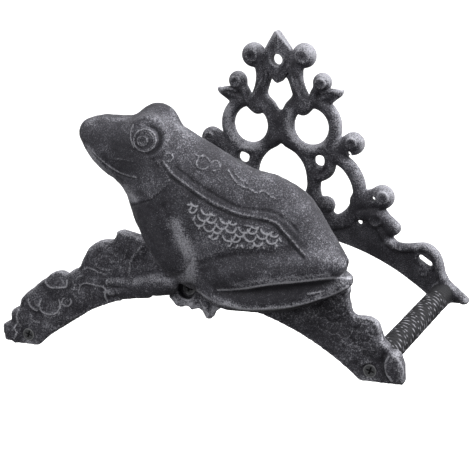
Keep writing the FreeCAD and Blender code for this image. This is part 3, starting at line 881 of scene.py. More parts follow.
    def mouldings(self, block: Block) -> None:
        """Half-round rings, strands and the rim along the feet."""
        x, z, hole, band = self.ring
        block.add(block.bead(np.abs(block.disc(x, z, hole + band / 2)), band / 2, 8.0), 1.0)
        *oval, band = self.oval
        gap = np.abs(lens(block, *oval) - band / 2)
        block.add(np.maximum(block.bead(gap, band / 2, 7.8), block.x - 66.0), 1.0)
        *centre, band = self.centre
        block.add(block.bead(np.abs(lens(block, *centre) - band / 2), band / 2, 7.8), 1.0)
        for strand in self.strands:
            block.add(block.bead(block.line(strand.points), strand.half, strand.high), 1.0)
        block.add(block.bead(block.line(self.rim), 3.5, 8.0, 2.5), 0.9)
        for x, z, radius, high, edge, fillet in self.bosses:
            block.add(block.slab(block.disc(x, z, radius), high, edge), fillet)
        block.cut(block.lump((111.8, 7.6, 24.2), (1.9, 1.9, 1.9)), 0.6)
        block.add(block.bead(np.abs(self.slot(block) - 1.6), 1.7, 6.4, 3.0), 0.8)

    def ornaments(self, block: Block) -> None:
        """Balls with raised circles, the leaf and the bud."""
        for x, z, radius, high in self.balls:
            block.add(block.bead(block.disc(x, z, 0.0), radius, high, 2.4), 2.0)
        for x, z, radius in self.eyes:
            ring = np.hypot(block.disc(x, z, radius), (block.out - 8.7) * 1.1) - 1.0
            block.add(ring, 0.7)
            block.cut(block.lump((x + 0.4, 9.9, z), (radius * 0.42,) * 3), 0.5)
        vein = block.line(((28.0, 150.0), (37.0, 152.6), (46.0, 155.8)))
        block.add(block.slab(block.rounded(self.leaf), 7.6 - 0.5 * np.minimum(vein, 3.0), 1.6), 0.8)
        fold = block.line(((34.0, 155.8), (40.0, 157.2), (46.0, 157.0)))
        block.add(block.bead(fold, 1.5, 8.0, 5.0), 0.8)
        roof = 9.8 - 0.36 * np.abs(block.x) - 0.035 * np.abs(block.z - 184.0)
        block.add(block.slab(block.rounded(self.bud), roof, 0.8), 0.5)
        block.add(block.bead(np.abs(block.disc(0.0, HOLE_HEIGHT, 5.8)), 1.3, 8.2, 5.5), 0.8)

    def build(self, finish: bpy.types.Material) -> None:
        """Mesh and dress the plate."""
        # Faces that look sideways, such as the walls of the rings, are painted paler here as painted light.
        surface = casting("back_casting", self.plate(), 0.0, BACK_RELIEF, 0.15, 0.75)
        surface.build(("back_plate",), "iron", finish)


@dataclass
class FrontPlate:
    """The arched front plate with its scalloped edge, seen from the front as rock and leaves."""

    step: float = 0.8
    scallops: tuple[Triple, ...] = (
        (-138.4, 9.8, 8.2), (-131.5, 22.6, 7.4), (-116.0, 35.0, 10.2), (-99.0, 45.8, 9.2), (-84.0, 53.4, 6.8),
        (-62.5, 66.6, 12.8), (-37.5, 81.4, 11.6), (-104.0, 26.5, 9.0), (-84.0, 39.0, 9.0), (-62.0, 49.5, 9.5),
        (131.4, 25.0, 8.8), (121.4, 34.2, 8.8), (102.0, 50.4, 10.2), (104.0, 28.0, 9.5),
        (84.0, 40.0, 9.5), (116.0, 20.0, 7.0), (92.0, 60.0, 8.0), (124.0, 13.0, 5.0))
    outline: tuple[Pair, ...] = (
        (-137.9, 2.6), (-146.8, 2.9), (-148.2, 7.3), (-147.5, 12.9), (-144.7, 15.2), (-139.4, 18.1),
        (-139.0, 22.6), (-136.7, 26.3), (-131.6, 28.9), (-130.2, 34.0), (-125.8, 38.7), (-118.5, 43.7),
        (-113.3, 48.5), (-108.2, 51.6), (-103.2, 55.4), (-96.5, 56.9), (-92.3, 55.4), (-89.8, 56.0),
        (-86.9, 58.4), (-82.0, 60.5), (-78.7, 66.8), (-75.6, 71.3), (-71.5, 76.7), (-65.6, 80.5),
        (-59.1, 81.8), (-54.5, 82.1), (-51.5, 85.6), (-47.6, 89.2), (-20.0, 84.0), (20.0, 88.0),
        (60.0, 82.0), (88.0, 74.0), (111.3, 64.1), (112.1, 56.5), (112.9, 50.7), (114.4, 46.0),
        (117.7, 43.9), (122.6, 44.2), (127.4, 43.3), (131.3, 40.7), (133.1, 36.0), (134.8, 30.0),
        (138.2, 26.5), (139.7, 22.3), (146.0, 12.0), (147.0, 0.0), (120.0, -20.0), (0.0, 30.0),
        (-120.0, -20.0), (-138.0, 0.0))
    lobe: tuple[Pair, ...] = (
        (137.0, 9.2), (136.5, 16.0), (138.5, 21.8), (142.0, 23.5), (145.8, 21.0), (148.6, 13.4),
        (150.1, 7.7), (148.1, 3.3), (143.7, 1.6), (139.8, 2.6), (137.5, 6.3))
    webs: tuple[Pair, ...] = (
        (-14.3, 46.1), (-11.5, 42.9), (-8.6, 41.4), (-5.0, 39.6), (-0.5, 41.1), (3.0, 38.9),
        (7.5, 40.0), (10.3, 37.9), (13.0, 33.2), (16.6, 33.6), (18.6, 37.9), (22.7, 40.7),
        (27.9, 45.0), (32.4, 48.1), (29.7, 53.4), (-5.1, 51.8))
    mouths: tuple[tuple[float, ...], ...] = (
        (-BAR_SPREAD, SIDE_BAR, 0.75, 5.6), (0.0, TOP_BAR, CENTRE_SINK, 6.2),
        (BAR_SPREAD, SIDE_BAR, 0.75, 5.6))

    def plate(self) -> Block:
        """Work out the plate's field."""
        block = Block((-148.0, -1.6, -0.4), (149.6, 10.4, 96.4), self.step)
        outline = np.maximum(block.rounded(self.outline, 3), block.under_arch())
        outline = np.maximum(outline, FOOT_LIFT - block.z)
        outline = np.maximum(outline, np.abs(block.x - 1.05) - 147.2)
        block.add(block.slab(outline, 6.7, 1.8), 0.1)
        for x, z, radius in self.scallops:
            gap = block.disc(x, z, 0.0)
            turn = np.arctan2(block.z - z, block.x - x)
            uneven = 0.05 * np.sin(3 * turn + x) + 0.03 * np.sin(5 * turn + 2.0 * x)
            height = 6.9 + 1.9 * np.clip(1.0 - (gap / radius) ** 2, 0.0, 1.0) ** 0.7
            scallop = np.maximum(gap - radius * (1.0 + uneven), outline)
            block.add(block.slab(scallop, height, 1.9), 1.2)
        lobe = np.maximum(block.rounded(self.lobe, 3), FOOT_LIFT - block.z)
        block.add(block.slab(np.maximum(lobe, block.x - 148.4), 9.2, 3.6), 0.8)
        block.add(block.slab(block.disc(0.0, TOP_BAR, 11.0), 8.6, 1.0), 1.0)
        folds = 1.1 * np.cos(0.62 * block.x + 0.25 * block.z)
        block.add(block.slab(block.polygon(self.webs), 8.0 + folds, 1.6), 1.0)
        self.seats(block)
        block.metal = np.maximum(block.metal + block.ripple(7.0, 0.3), -block.out)
        return block

    def seats(self, block: Block) -> None:
        """Countersunk screw seats, the middle one deep and dark with a raised lip."""
        block.add(block.bead(np.abs(block.disc(0.0, TOP_BAR, 7.0)), 2.0, 9.2, 6.0), 0.8)
        for x, z, sink, mouth in self.mouths:
            block.cut(block.disc(x, z, BORE), 0.1)
            floor = FRONT_THICK - sink
            block.cut(np.maximum(block.disc(x, z, mouth), floor - block.out), 0.4)
            cone = (block.disc(x, z, 4.6) + (floor - block.out)) * 0.7
            block.cut(np.maximum(cone, block.out - floor - 0.5), 0.1)

    def build(self, finish: bpy.types.Material) -> None:
        """Mesh and dress the plate."""
        # Faces that look sideways are painted a little paler as painted light.
        surface = casting("front_arch", self.plate(), FRONT_REAR, ARCH_RELIEF, 0.3, 0.3)
        surface.build(("front_plate",), "iron", finish)


@dataclass(frozen=True)
class Section:
    """An ellipse across the frog: its middle, half height, half width and tilt."""

    x: float
    z: float
    high: float
    wide: float
    tilt: float


@dataclass
class Frog:
    """The frog that is cast in one with the front plate, hollow behind."""

    step: float = 0.62
    middle: float = 15.0
    wall: float = 5.0
    sections: tuple[Section, ...] = (
        Section(-66.9, 160.2, 2.6, 2.6, 75.7), Section(-64.4, 159.5, 7.2, 7.0, 75.7),
        Section(-54.5, 155.2, 15.2, 13.3, 75.0), Section(-43.0, 150.8, 19.9, 16.8, 72.3),
        Section(-30.3, 148.2, 24.1, 18.8, 64.1), Section(-17.6, 142.2, 29.8, 20.4, 57.5),
        Section(-2.0, 124.6, 38.6, 24.3, 52.5), Section(25.1, 100.7, 47.0, 25.8, 55.8),
        Section(49.6, 93.5, 46.5, 24.3, 61.5), Section(74.8, 87.2, 39.0, 21.8, 65.6),
        Section(97.9, 77.0, 23.6, 16.4, 69.8), Section(111.9, 74.4, 10.4, 8.9, 69.3))

    def body(self, block: Block, first: int, last: int, shrink: float) -> np.ndarray:
        """An ellipse carried along the tilted sections.

        For each point of the plane the section whose plane it lies in is found, by the change of sign of its
        distance to the planes; the field is the distance to that section's ellipse.

        Args:
            block: the space that it is worked out in.
            first: number of the first section used.
            last: number of the last section used.
            shrink: how much smaller each half size is.

        Returns:
            The field.
        """
        rows = np.array([[item.x, item.z, item.high - shrink, item.wide - shrink, item.tilt]
                         for item in self.sections[first:last + 1]])
        rows = curve_through(rows, 8)
        x, z = block.x[:, 0, :], block.z[:, 0, :]
        score = np.full(np.broadcast_shapes(x.shape, z.shape), 1e9)
        found = np.full(score.shape + (3,), np.nan)
        turn = np.radians(rows[:, 4])
        across = [(x - row[0]) * math.sin(a) - (z - row[1]) * math.cos(a) for row, a in zip(rows, turn)]
        along = [(x - row[0]) * math.cos(a) + (z - row[1]) * math.sin(a) for row, a in zip(rows, turn)]
        for index in range(len(rows) - 1):
            here, there = across[index], across[index + 1]
            hit = (here >= 0) & (there < 0)
            share = np.where(hit, here / np.where(hit, here - there, 1.0), 0.0)
            level = along[index] + share * (along[index + 1] - along[index])
            high = rows[index, 2] + share * (rows[index + 1, 2] - rows[index, 2])
            wide = rows[index, 3] + share * (rows[index + 1, 3] - rows[index, 3])
            better = hit & (np.abs(level / high) < score)
            score = np.where(better, np.abs(level / high), score)
            for column, values in enumerate((level, high, wide)):
                found[..., column] = np.where(better, values, found[..., column])
        before, after = np.maximum(-across[0], 0.0), np.maximum(across[-1], 0.0)
        missing = np.isnan(found[..., 0])
        ahead = missing & (before > 0) & (before <= np.where(after > 0, after, 1e9))
        for mask, row, level in ((ahead, rows[0], along[0]), (missing & ~ahead, rows[-1], along[-1])):
            for column, values in enumerate((level, row[2], row[3])):
                found[..., column] = np.where(mask, values, found[..., column])
        cap = np.where(missing, np.where(ahead, before, after), 0.0)[:, None, :]
        level, high, wide = (found[..., column][:, None, :] for column in range(3))
        gap = ellipse((level, high), (block.out - self.middle, wide))
        return np.where(cap > 0, np.hypot(np.maximum(gap, 0.0), cap), gap)

    def casting_block(self) -> Block:
        """Work out the frog's field."""
        block = Block((-70.2, -1.8, 34.2), (123.3, 45.9, 182.7), self.step)
        block.metal = self.body(block, 0, len(self.sections) - 1, 0.0)
        self.head(block)
        self.legs(block)
        hollow = self.body(block, 5, 9, self.wall)
        block.cut(np.maximum(hollow, block.out - 40.0), 1.5)
        self.hind_leg(block)
        self.screw_hollow(block)
        block.metal = np.maximum(block.metal + block.ripple(9.0, 0.14), -block.out)
        return block

    def screw_hollow(self, block: Block) -> None:
        """The slanted hollow in which the middle screw is seen between hand and thigh."""
        rise = np.maximum(block.out - FRONT_THICK, 0.0)
        clear = np.hypot(block.x - 0.44 * rise, block.z - TOP_BAR - 0.29 * rise) - 6.2
        block.cut(np.maximum(clear, np.maximum(1.0 - block.out, block.out - 24.0)), 1.6)

    def head(self, block: Block) -> None:
        """The brows and the eye."""
        block.add(block.lump((-14.0, 20.5, 158.6), (14.0, 13.0, 12.4), 25.0), 6.0)
        block.add(block.lump((-13.7, 8.0, 164.1), (14.2, 10.0, 13.4)), 6.0)
        block.add(block.lump((-12.6, 26.0, 157.9), (9.4, 7.0, 9.4), 0.0), 2.5)

    def legs(self, block: Block) -> None:
        """Front leg, forearm and hand."""
        arm = [(-12.4, 27.0, 113.6, 11.0), (-9.9, 28.5, 102.9, 10.6), (-5.9, 29.5, 93.4, 9.8),
               (-1.0, 30.0, 84.4, 9.0), (2.2, 29.5, 78.4, 8.4)]
        block.add(block.limb(arm), 2.2)
        forearm = [(-2.5, 15.0, 62.0, 5.2), (-11.0, 11.5, 57.6, 7.4), (-21.8, 10.0, 55.8, 7.8),
                   (-33.6, 8.5, 53.4, 6.4)]
        block.add(block.limb(forearm), 2.0)
        hand = [
            [(-30.0, 9.0, 52.0, 4.6), (-46.0, 8.4, 54.0, 3.4), (-57.5, 7.6, 53.0, 2.8)],
            [(-30.0, 9.0, 49.5, 4.4), (-45.0, 8.2, 48.4, 3.2), (-57.0, 7.4, 46.0, 2.6)],
            [(-28.0, 9.0, 49.5, 4.4), (-40.0, 7.6, 46.4, 3.0), (-50.0, 6.6, 43.8, 2.4)],
        ]
        for finger in hand:
            block.add(block.limb(finger), 1.2)

    def hind_leg(self, block: Block) -> None:
        """Thigh, shank and foot, folded against the body."""
        block.add(block.lump((66.5, 25.6, 78.0), (52.5, 17.0, 15.0), 7.0), 3.0)
        shank = [(22.0, 24.0, 62.5, 5.5), (34.0, 24.0, 56.6, 7.6), (52.0, 24.0, 57.0, 8.8),
                 (72.0, 24.0, 59.0, 9.2), (94.0, 23.0, 64.0, 7.6), (112.0, 21.0, 70.6, 5.0)]
        block.add(block.limb(shank, 1.4), 5.0)
        block.add(block.lump((72.0, 11.5, 55.8), (44.0, 6.0, 6.8), 12.0), 1.5)
        block.add(block.lump((112.0, 20.0, 71.5), (8.5, 9.5, 6.5), 12.0), 2.0)
        block.metal = np.maximum(block.metal, block.under_arch() - 1.2)

    def build(self, finish: bpy.types.Material) -> None:
        """Mesh and dress the frog."""
        surface = casting("frog_casting", self.casting_block(), FRONT_REAR, FROG_RELIEF)
        surface.build(("front_plate",), "iron", finish)


# Relief of the castings, with pale lines and patches that are partly painted light and shade: places and
# widths in pixels of the photograph, lifts in mm


BACK_RELIEF: tuple[Mark, ...] = (
    Stroke(((254.5, 80), (251, 90), (248.7, 98), (252, 104)), 1.7, -0.9, -0.5),
    Stroke(((262.5, 78), (257, 87.5), (252, 97.5)), 1.8, 0.3, 0.45),
    Stroke(((241, 86), (241.5, 95), (246, 104), (255, 109.5)), 1.7, -0.9, -0.5),
    Stroke(((292, 80), (297, 91), (302.5, 99), (306, 104)), 1.8, 0.3, 0.45),
    Stroke(((297.5, 78), (302, 90), (307, 99), (311, 94), (315, 87.5)), 1.7, -0.9, -0.5),
    Stroke(((325, 91), (318, 96), (315.5, 105)), 1.5, -0.8, -0.5),
    Stroke(((313, 90), (311, 100), (308, 109)), 1.3, 0.3, 0.4),
    Stroke(((277.5, 31), (277.8, 40), (278, 48)), 1.3, 0.4, 0.5),
    Stroke(((266, 66), (272, 73), (277.5, 79.5), (284, 72), (289, 64)), 1.6, 0.4, 0.3),
    Stroke(((262.5, 62), (265, 72), (263, 82)), 1.6, -0.8, -0.4),
    Stroke(((293, 62), (292, 72), (294.5, 80)), 1.6, -0.8, -0.4),
    Ring((251, 55.5), 5.0, 1.2, 0.4, 0.5, 150.0, 260.0),
    Ring((302.5, 55.5), 6.5, 1.4, 0.4, 0.5, 60.0, 260.0),
    # Patches of painted light and shade, partly worn paint: lit walls and ridges are paler, shaded places
    # darker.
    WearAndShadingPatch(((229, 110), (229, 125), (234, 138), (245, 146), (258, 146)), 4.5, 1.4),
    WearAndShadingPatch(((290, 112), (289, 126), (295, 138), (306, 145), (320, 143)), 4.5, 1.4),
    WearAndShadingPatch(((336, 100), (341, 115), (341, 132), (335, 146)), 3.0, 1.2),
    WearAndShadingPatch(((243, 45), (252, 44), (262, 50), (268, 42), (276, 32), (288, 42), (296, 46), (308, 45),
            (314, 56)), 4.0, 1.5),
    WearAndShadingPatch(((240, 74), (247, 74)), 3.0, 0.6),
    WearAndShadingPatch(((318, 74), (328, 76), (331, 84)), 3.0, 0.9),
    WearAndShadingPatch(((350, 136), (360, 140), (362, 150)), 3.5, 0.9),
    WearAndShadingPatch(((366, 170), (378, 190), (384, 195)), 4.0, 0.5),
    WearAndShadingPatch(((256, 84), (262, 96), (272, 108), (276, 122)), 3.0, -0.7),
    WearAndShadingPatch(((300, 84), (293, 96), (283, 108), (279, 122)), 3.0, -0.7),
    WearAndShadingPatch(((270, 142), (282, 140), (294, 148)), 4.0, -0.8),
    WearAndShadingPatch(((356, 206), (372, 214), (392, 236), (410, 244)), 5.0, -0.8),
    WearAndShadingPatch(((384, 244), (398, 240), (412, 246), (424, 262)), 2.5, 0.9),
    WearAndShadingPatch(((378, 196), (388, 194), (394, 204)), 3.5, 0.7),
)

RIGHT_ARCH = ((292, 316), (312, 306), (332, 296), (345, 300), (350, 316), (366, 318), (376, 327), (382, 340),
              (380, 352), (366, 360), (350, 352), (330, 337), (308, 324))

ARCH_RELIEF: tuple[Mark, ...] = (
    # Painted shade: a dark ring in the mouth round the middle screw.
    Ring((188.3, 290.5), 6.6, 1.8, 0.0, -1.3),
    Stroke(((200, 300), (204, 308), (207.5, 317)), 1.2, 0.4, 0.7),
    Stroke(((209, 303), (210.5, 311), (210, 318)), 1.2, -0.5, -0.7),
    Stroke(((221, 306), (215, 310.5), (212.5, 315)), 1.2, 0.4, 0.8),
    Stroke(((183, 303), (188, 306), (194, 304)), 1.2, 0.4, 0.6),
    Stroke(((40.9, 299.7), (39.5, 306), (42.5, 311.5), (48, 314.1), (56.5, 312.9), (60.5, 306), (59, 299)),
            1.0, 0.7, 0.9),
    Stroke(((44, 316), (50.5, 317), (57, 315.5), (62, 311)), 0.9, 0.4, 0.5),
    Ring((66.8, 301.6), 4.6, 0.9, 0.6, 0.9, 120.0, 270.0),
    Ring((66.8, 301.6), 1.8, 0.8, 0.4, 0.6, 20.0, 220.0),
    Stroke(((79.3, 290.5), (79.5, 287), (81.7, 284.1), (86, 283), (91.3, 284.1), (98, 285.5),
            (103.4, 286.5)), 1.0, 0.6, 0.8),
    Stroke(((103.4, 286.5), (106.4, 290.5), (105.2, 295.5), (108, 301.5)), 1.0, 0.7, 1.0),
    Stroke(((104, 292), (111, 289.5), (117.8, 287.7), (119.5, 293), (120.2, 300.9)), 1.0, 0.7, 0.9),
    Stroke(((129.8, 287.7), (127.4, 291), (129.5, 295.5), (134.6, 299.7)), 1.0, 0.7, 0.9),
    Stroke(((142, 246), (136, 253), (131, 261.3), (129.8, 268.5), (131, 278), (133.4, 285.3)),
            1.6, 0.9, 0.55),
    Stroke(((83, 269.7), (87, 268), (91.3, 268.5), (98.6, 272), (105.8, 274.5)), 0.9, 0.5, 0.75),
    Stroke(((96.2, 263.7), (99, 267.5), (103.4, 269.7), (113, 269.7)), 0.9, 0.4, 0.6),
    Stroke(((45.7, 281.7), (48, 285.3), (52, 287.4), (57.7, 287.7), (66.1, 286.5), (67.3, 280.5)),
            1.1, 0.7, 0.9),
    Stroke(((28.8, 298.9), (29.6, 303.5), (32.3, 307.9), (37.3, 310.5)), 1.0, 0.6, 0.85),
    Stroke(((35, 301), (36.5, 305), (40, 306)), 0.9, 0.4, 0.6),
    Stroke(((19.2, 309.7), (17.3, 315), (18, 320.9), (21.6, 326.2)), 1.2, 0.8, 0.8),
    Stroke(((17.8, 323), (14.4, 328.2), (16.8, 332), (14.6, 338.2)), 1.0, 0.8, 0.9),
    Stroke(((31.3, 314.1), (31.9, 318.5), (34.9, 321.1), (39.7, 322.5)), 1.0, 0.5, 0.7),
    Stroke(((72, 281), (74.5, 285), (74, 290)), 0.9, 0.5, 0.7),
    Stroke(((76, 279), (79, 276.5), (84, 276)), 0.9, 0.4, 0.6),
    Stroke(((92, 298), (92.5, 292), (96, 288)), 0.9, 0.4, 0.55),
    Stroke(((70, 292), (75, 296), (77, 301), (84, 303)), 0.9, 0.4, 0.5),
    Stroke(((82, 258), (80.5, 264), (82, 270)), 1.4, -0.5, -0.5),
    Stroke(((69, 276), (71, 282), (69, 289)), 1.4, -0.6, -0.6),
    Stroke(((24, 300), (22, 308), (25, 316)), 1.3, -0.5, -0.5),
    Stroke(((96, 246), (104, 247), (113, 243)), 2.0, 0.3, 0.3),
    Stroke(((92, 258), (100, 254), (110, 255), (120, 250)), 1.3, -0.4, -0.4),
    Stroke(((110, 262), (118, 262), (124, 258), (127, 250)), 1.2, 0.4, 0.4),
    Stroke(((346, 320), (352, 327), (364, 328), (374, 322)), 1.1, -0.6, -0.5),
    Stroke(((330, 330), (338, 322), (347, 318)), 1.1, -0.5, -0.5),
    Stroke(((358, 330), (356, 340), (362, 348), (374, 350), (382, 343), (381, 333)), 1.0, 0.5, 0.5),
    Stroke(((340, 340), (348, 345), (356, 342)), 1.0, 0.4, 0.5),
    Scales((345, 330), (10.5, 3.6), (-2.5, 9.8), RIGHT_ARCH, 5.4, 1.2, -0.45, -0.6),
    Scales((345, 330), (10.5, 3.6), (-2.5, 9.8), RIGHT_ARCH, 6.7, 0.8, 0.25, 0.5),
    Stroke(((389, 356), (385.5, 364), (387, 374), (392, 381)), 1.0, 0.6, 0.9),
    Stroke(((392, 355), (399, 361), (403, 370), (402, 379)), 1.2, 0.2, 0.8),
    Stroke(((384, 354), (382, 362), (383.5, 373), (387, 380)), 1.4, -0.9, -0.6),
    # Patches of painted light, partly worn paint: the lit lobes, and the leaf below the middle screw, which
    # takes highlights.
    WearAndShadingPatch(((84, 250), (98, 244), (112, 242)), 4.0, 0.35),
    WearAndShadingPatch(((24, 322), (40, 326), (60, 318)), 5.0, 0.3),
    WearAndShadingPatch(((174, 300), (184, 304), (196, 306), (208, 314), (216, 306)), 3.5, 1.4),
)

FROG_RELIEF: tuple[Mark, ...] = (
    Stroke(((161.2, 163.8), (170, 176.2), (182.5, 186.2), (200, 198.8), (220, 210), (240, 217.5),
            (260, 221.2), (272.5, 225), (282.5, 235), (292.5, 246.2), (303.8, 258)), 1.0, -0.9, -0.95),
    Stroke(((163, 160.5), (172, 173.0), (184.5, 183.0), (202, 195.6), (222, 206.8), (241, 214), (261, 217.8),
            (274.5, 222), (284.5, 231.5), (294.5, 243), (305, 255)), 1.3, 0.7, 0.6),
    Stroke(((176, 167.5), (195, 182.5), (215, 195), (235, 206), (252, 209.5), (268, 211.5), (281, 216.5),
            (291, 224), (297, 231)), 1.6, -0.7, -0.35),
    Stroke(((151, 198.5), (160.3, 190), (167, 183), (168, 175), (163, 167), (157.7, 161.7)), 2.2, 1.0, 0.35),
    Stroke(((134.3, 125.7), (131.6, 130), (130.9, 136), (132.2, 142), (134.3, 147.5)), 0.9, 0.6, 0.75),
    Stroke(((136, 123.2), (142.5, 118.8), (152.5, 117.8), (160.5, 122.5), (165.6, 132.5), (165.8, 143.8),
            (160.5, 152.3), (152, 156.5)), 3.4, 1.6, 0.0),
    Ring((145.6, 140.0), 14.6, 1.9, -1.3, -0.5, 280.0, 160.0),
    Ring((145.0, 140.3), 11.0, 0.65, 0.6, 0.85),
    Ring((144.6, 140.6), 9.2, 0.65, 0.4, 0.6, 280.0, 170.0),
    Ring((142.4, 141.0), 4.8, 0.65, 0.5, 0.75, 100.0, 310.0),
    Ring((142.4, 141.3), 2.6, 0.7, 0.4, 0.65, 190.0, 190.0),
    Ring((142.4, 141.0), 7.0, 1.0, -0.3, -0.35),
    Ring((168.8, 157.5), 4.0, 1.1, 0.6, 0.6, 250.0, 260.0),
    Stroke(((87, 147.2), (95, 156.8), (105, 165.0), (117.5, 173.5), (134, 179)), 0.8, -0.6, -0.5),
    Stroke(((87, 145.2), (99, 157.2), (111, 167.3), (124.3, 174.4), (136.3, 177.2)), 0.9, 0.5, 0.75),
    Stroke(((84.9, 145.1), (90.7, 155.4), (98.7, 165.8), (109, 176.1), (119.4, 184.1)), 2.2, 0.0, 0.45),
    Stroke(((113.7, 159), (121.7, 159.2), (133.7, 161.4)), 0.9, 0.35, 0.4),
    Stroke(((132, 205.5), (140, 203.5), (150, 200.5)), 1.2, -0.9, -0.6),
    # A painted highlight along the lit edge of the forearm.
    Stroke(((147.5, 250), (151.5, 259), (157.5, 267)), 1.4, 0.3, 1.1),
    Stroke(((166, 276), (176, 276), (184, 271), (189, 262)), 1.6, -0.8, -0.6),
    Stroke(((163, 206), (168, 222), (173, 238), (179, 252), (185, 265)), 2.4, -0.9, -0.2),
    Stroke(((190, 232), (191, 244), (193, 256), (197, 268)), 4.5, -1.4, 0.0),
    Stroke(((196, 260), (208, 254.5), (222, 250), (235, 247.5), (252, 246), (268, 246)), 2.6, 0.4, 0.35),
    Stroke(((197, 265), (212, 260), (230, 256), (250, 254), (270, 254)), 2.4, -0.5, -0.25),
    Stroke(((218, 290), (232, 289.5), (250, 287.5), (270, 284), (302, 281), (330, 278), (350, 279)),
            1.5, 0.5, 0.9),
    Stroke(((216, 293.5), (240, 293.4), (268, 290), (300, 286.8), (328, 284), (344, 283)), 2.8, -0.8, -0.5),
    Stroke(((222, 303), (244, 308.6), (270, 308), (290, 306), (314, 300), (334, 293), (348, 286)),
            1.5, 0.8, 0.8),
    Stroke(((240, 312), (264, 313), (286, 310.6), (306, 306), (322, 300)), 1.5, -0.8, -0.5),
    Stroke(((264, 316), (286, 314), (302, 310), (314, 305)), 1.4, 0.6, 0.8),
    Stroke(((308, 294), (316, 292.6), (324, 291)), 1.3, 0.3, 0.8),
    Ring((345, 279), 5.0, 1.2, 0.5, 0.6, 100.0, 150.0),
    Ring((354, 281), 4.0, 1.2, 0.5, 0.6, 60.0, 160.0),
    Ring((203, 163), 6.5, 0.9, 0.5, 0.6, 20.0, 300.0),
    Ring((215, 166), 5.0, 0.9, 0.5, 0.6, 250.0, 250.0),
    Stroke(((228, 170), (233, 178), (238, 184), (243, 186)), 1.0, 0.5, 0.6),
    Stroke(((234, 172), (240, 179), (247, 183)), 1.0, 0.4, 0.5),
    Stroke(((242, 187), (250, 189), (256, 193), (264, 191), (270, 196), (276, 199)), 1.0, 0.5, 0.55),
    Stroke(((196, 155), (200, 157), (203, 155)), 1.0, 0.4, 0.5),
    Scales(),
    # Painted shade: a dark ring round the middle screw's mouth, on the frog's side.
    Ring((188.3, 290.5), 7.0, 1.8, 0.0, -1.0),
    # Patches of painted light and shade, partly worn paint. Brow ridge, chin, forearm and leg edges are paler
    # where lit. The eye socket, brow hood, arm and hollows are darker where shaded.
    WearAndShadingPatch(((148, 118.5), (156, 120), (162, 126), (166, 134), (165.5, 144), (160, 151)), 2.4, 0.5),
    WearAndShadingPatch(((151, 124.5), (157, 129), (160, 136), (160, 144), (155, 150.5)), 2.2, -0.9),
    WearAndShadingPatch(((90, 124), (97, 118.5), (108, 118.5), (120, 119.5), (130, 117)), 2.8, 0.8),
    WearAndShadingPatch(((88, 151), (100, 167), (112, 179), (122, 189), (129, 199)), 3.4, 2.0),
    WearAndShadingPatch(((138, 104), (153, 102), (166, 106)), 7.0, -0.8),
    WearAndShadingPatch(((205, 150), (240, 162), (272, 174), (300, 194), (318, 222)), 10.0, -0.3),
    WearAndShadingPatch(((172, 112), (178, 124), (188, 136)), 5.0, 0.5),
    WearAndShadingPatch(((139.5, 232), (144, 244), (149.5, 256)), 1.2, 1.6),
    WearAndShadingPatch(((126, 188), (131, 196), (136, 200)), 3.6, 1.2),
    WearAndShadingPatch(((134, 208), (146, 207), (158, 210)), 3.0, -0.7),
    WearAndShadingPatch(((197, 290), (208.6, 298.6), (220, 304), (241, 308)), 1.6, 1.4),
    WearAndShadingPatch(((98, 119), (112, 117), (125, 116), (140, 108), (155, 104), (170, 108), (178, 118)), 4.0, -0.2),
    WearAndShadingPatch(((172, 124), (190, 140), (215, 152), (240, 164), (267, 176), (292, 190), (306, 204), (316, 222),
            (330, 245)), 6.0, 0.35),
    WearAndShadingPatch(((172, 134), (180, 148), (196, 160)), 8.0, 0.25),
    WearAndShadingPatch(((300, 226), (318, 243), (329, 260)), 8.0, 0.35),
    WearAndShadingPatch(((100, 163), (112, 175), (124, 186), (132, 200)), 4.0, 0.5),
    WearAndShadingPatch(((142, 187), (150, 182), (160, 184)), 5.0, 0.4),
    WearAndShadingPatch(((174, 224), (179, 236), (186, 250), (190, 264), (191, 278)), 7.5, 2.0),
    WearAndShadingPatch(((200, 232), (222, 243), (245, 249), (262, 250)), 7.0, 0.4),
    WearAndShadingPatch(((190, 206), (215, 224), (235, 231), (260, 232), (277, 240)), 9.0, 0.4),
    WearAndShadingPatch(((137, 281), (150, 279), (165, 280), (178, 277)), 5.5, 0.9),
    WearAndShadingPatch(((148, 250), (152, 259), (158, 266)), 2.0, 1.6),
    WearAndShadingPatch(((236, 284), (270, 280.5), (300, 277.5), (328, 275)), 3.2, 1.2),
    WearAndShadingPatch(((335, 287), (345, 281), (352, 274)), 5.0, 0.6),
    WearAndShadingPatch(((214, 297), (235, 304.5), (272, 308), (308, 300), (333, 290)), 2.6, 1.1),
    WearAndShadingPatch(((97, 138), (108, 134), (120, 141), (126, 158), (136, 172)), 10.0, -0.7),
    WearAndShadingPatch(((140, 210), (150, 228), (160, 246), (170, 262)), 9.0, -0.9),
    WearAndShadingPatch(((158, 178), (166, 196), (172, 212)), 7.0, -0.4),
    WearAndShadingPatch(((222, 296), (250, 298), (280, 295), (320, 288)), 4.5, -0.8),
    WearAndShadingPatch(((206, 270), (222, 277), (244, 276)), 6.0, -0.6),
    WearAndShadingPatch(((262, 217), (280, 224), (292, 237), (305, 256)), 4.0, -0.5),
    WearAndShadingPatch(((176, 170), (200, 187), (232, 205)), 5.0, -0.4),
)


# Turned pieces


def tube_quads(rows: int, columns: int) -> np.ndarray:
    """Quads of a closed turned surface whose first and last rows are shrunk to the axis."""
    row, column = np.meshgrid(np.arange(rows - 1), np.arange(columns), indexing="ij")
    a = row * columns + column
    b = row * columns + (column + 1) % columns
    return np.stack([a, b, b + columns, a + columns], axis=-1).reshape(-1, 4)


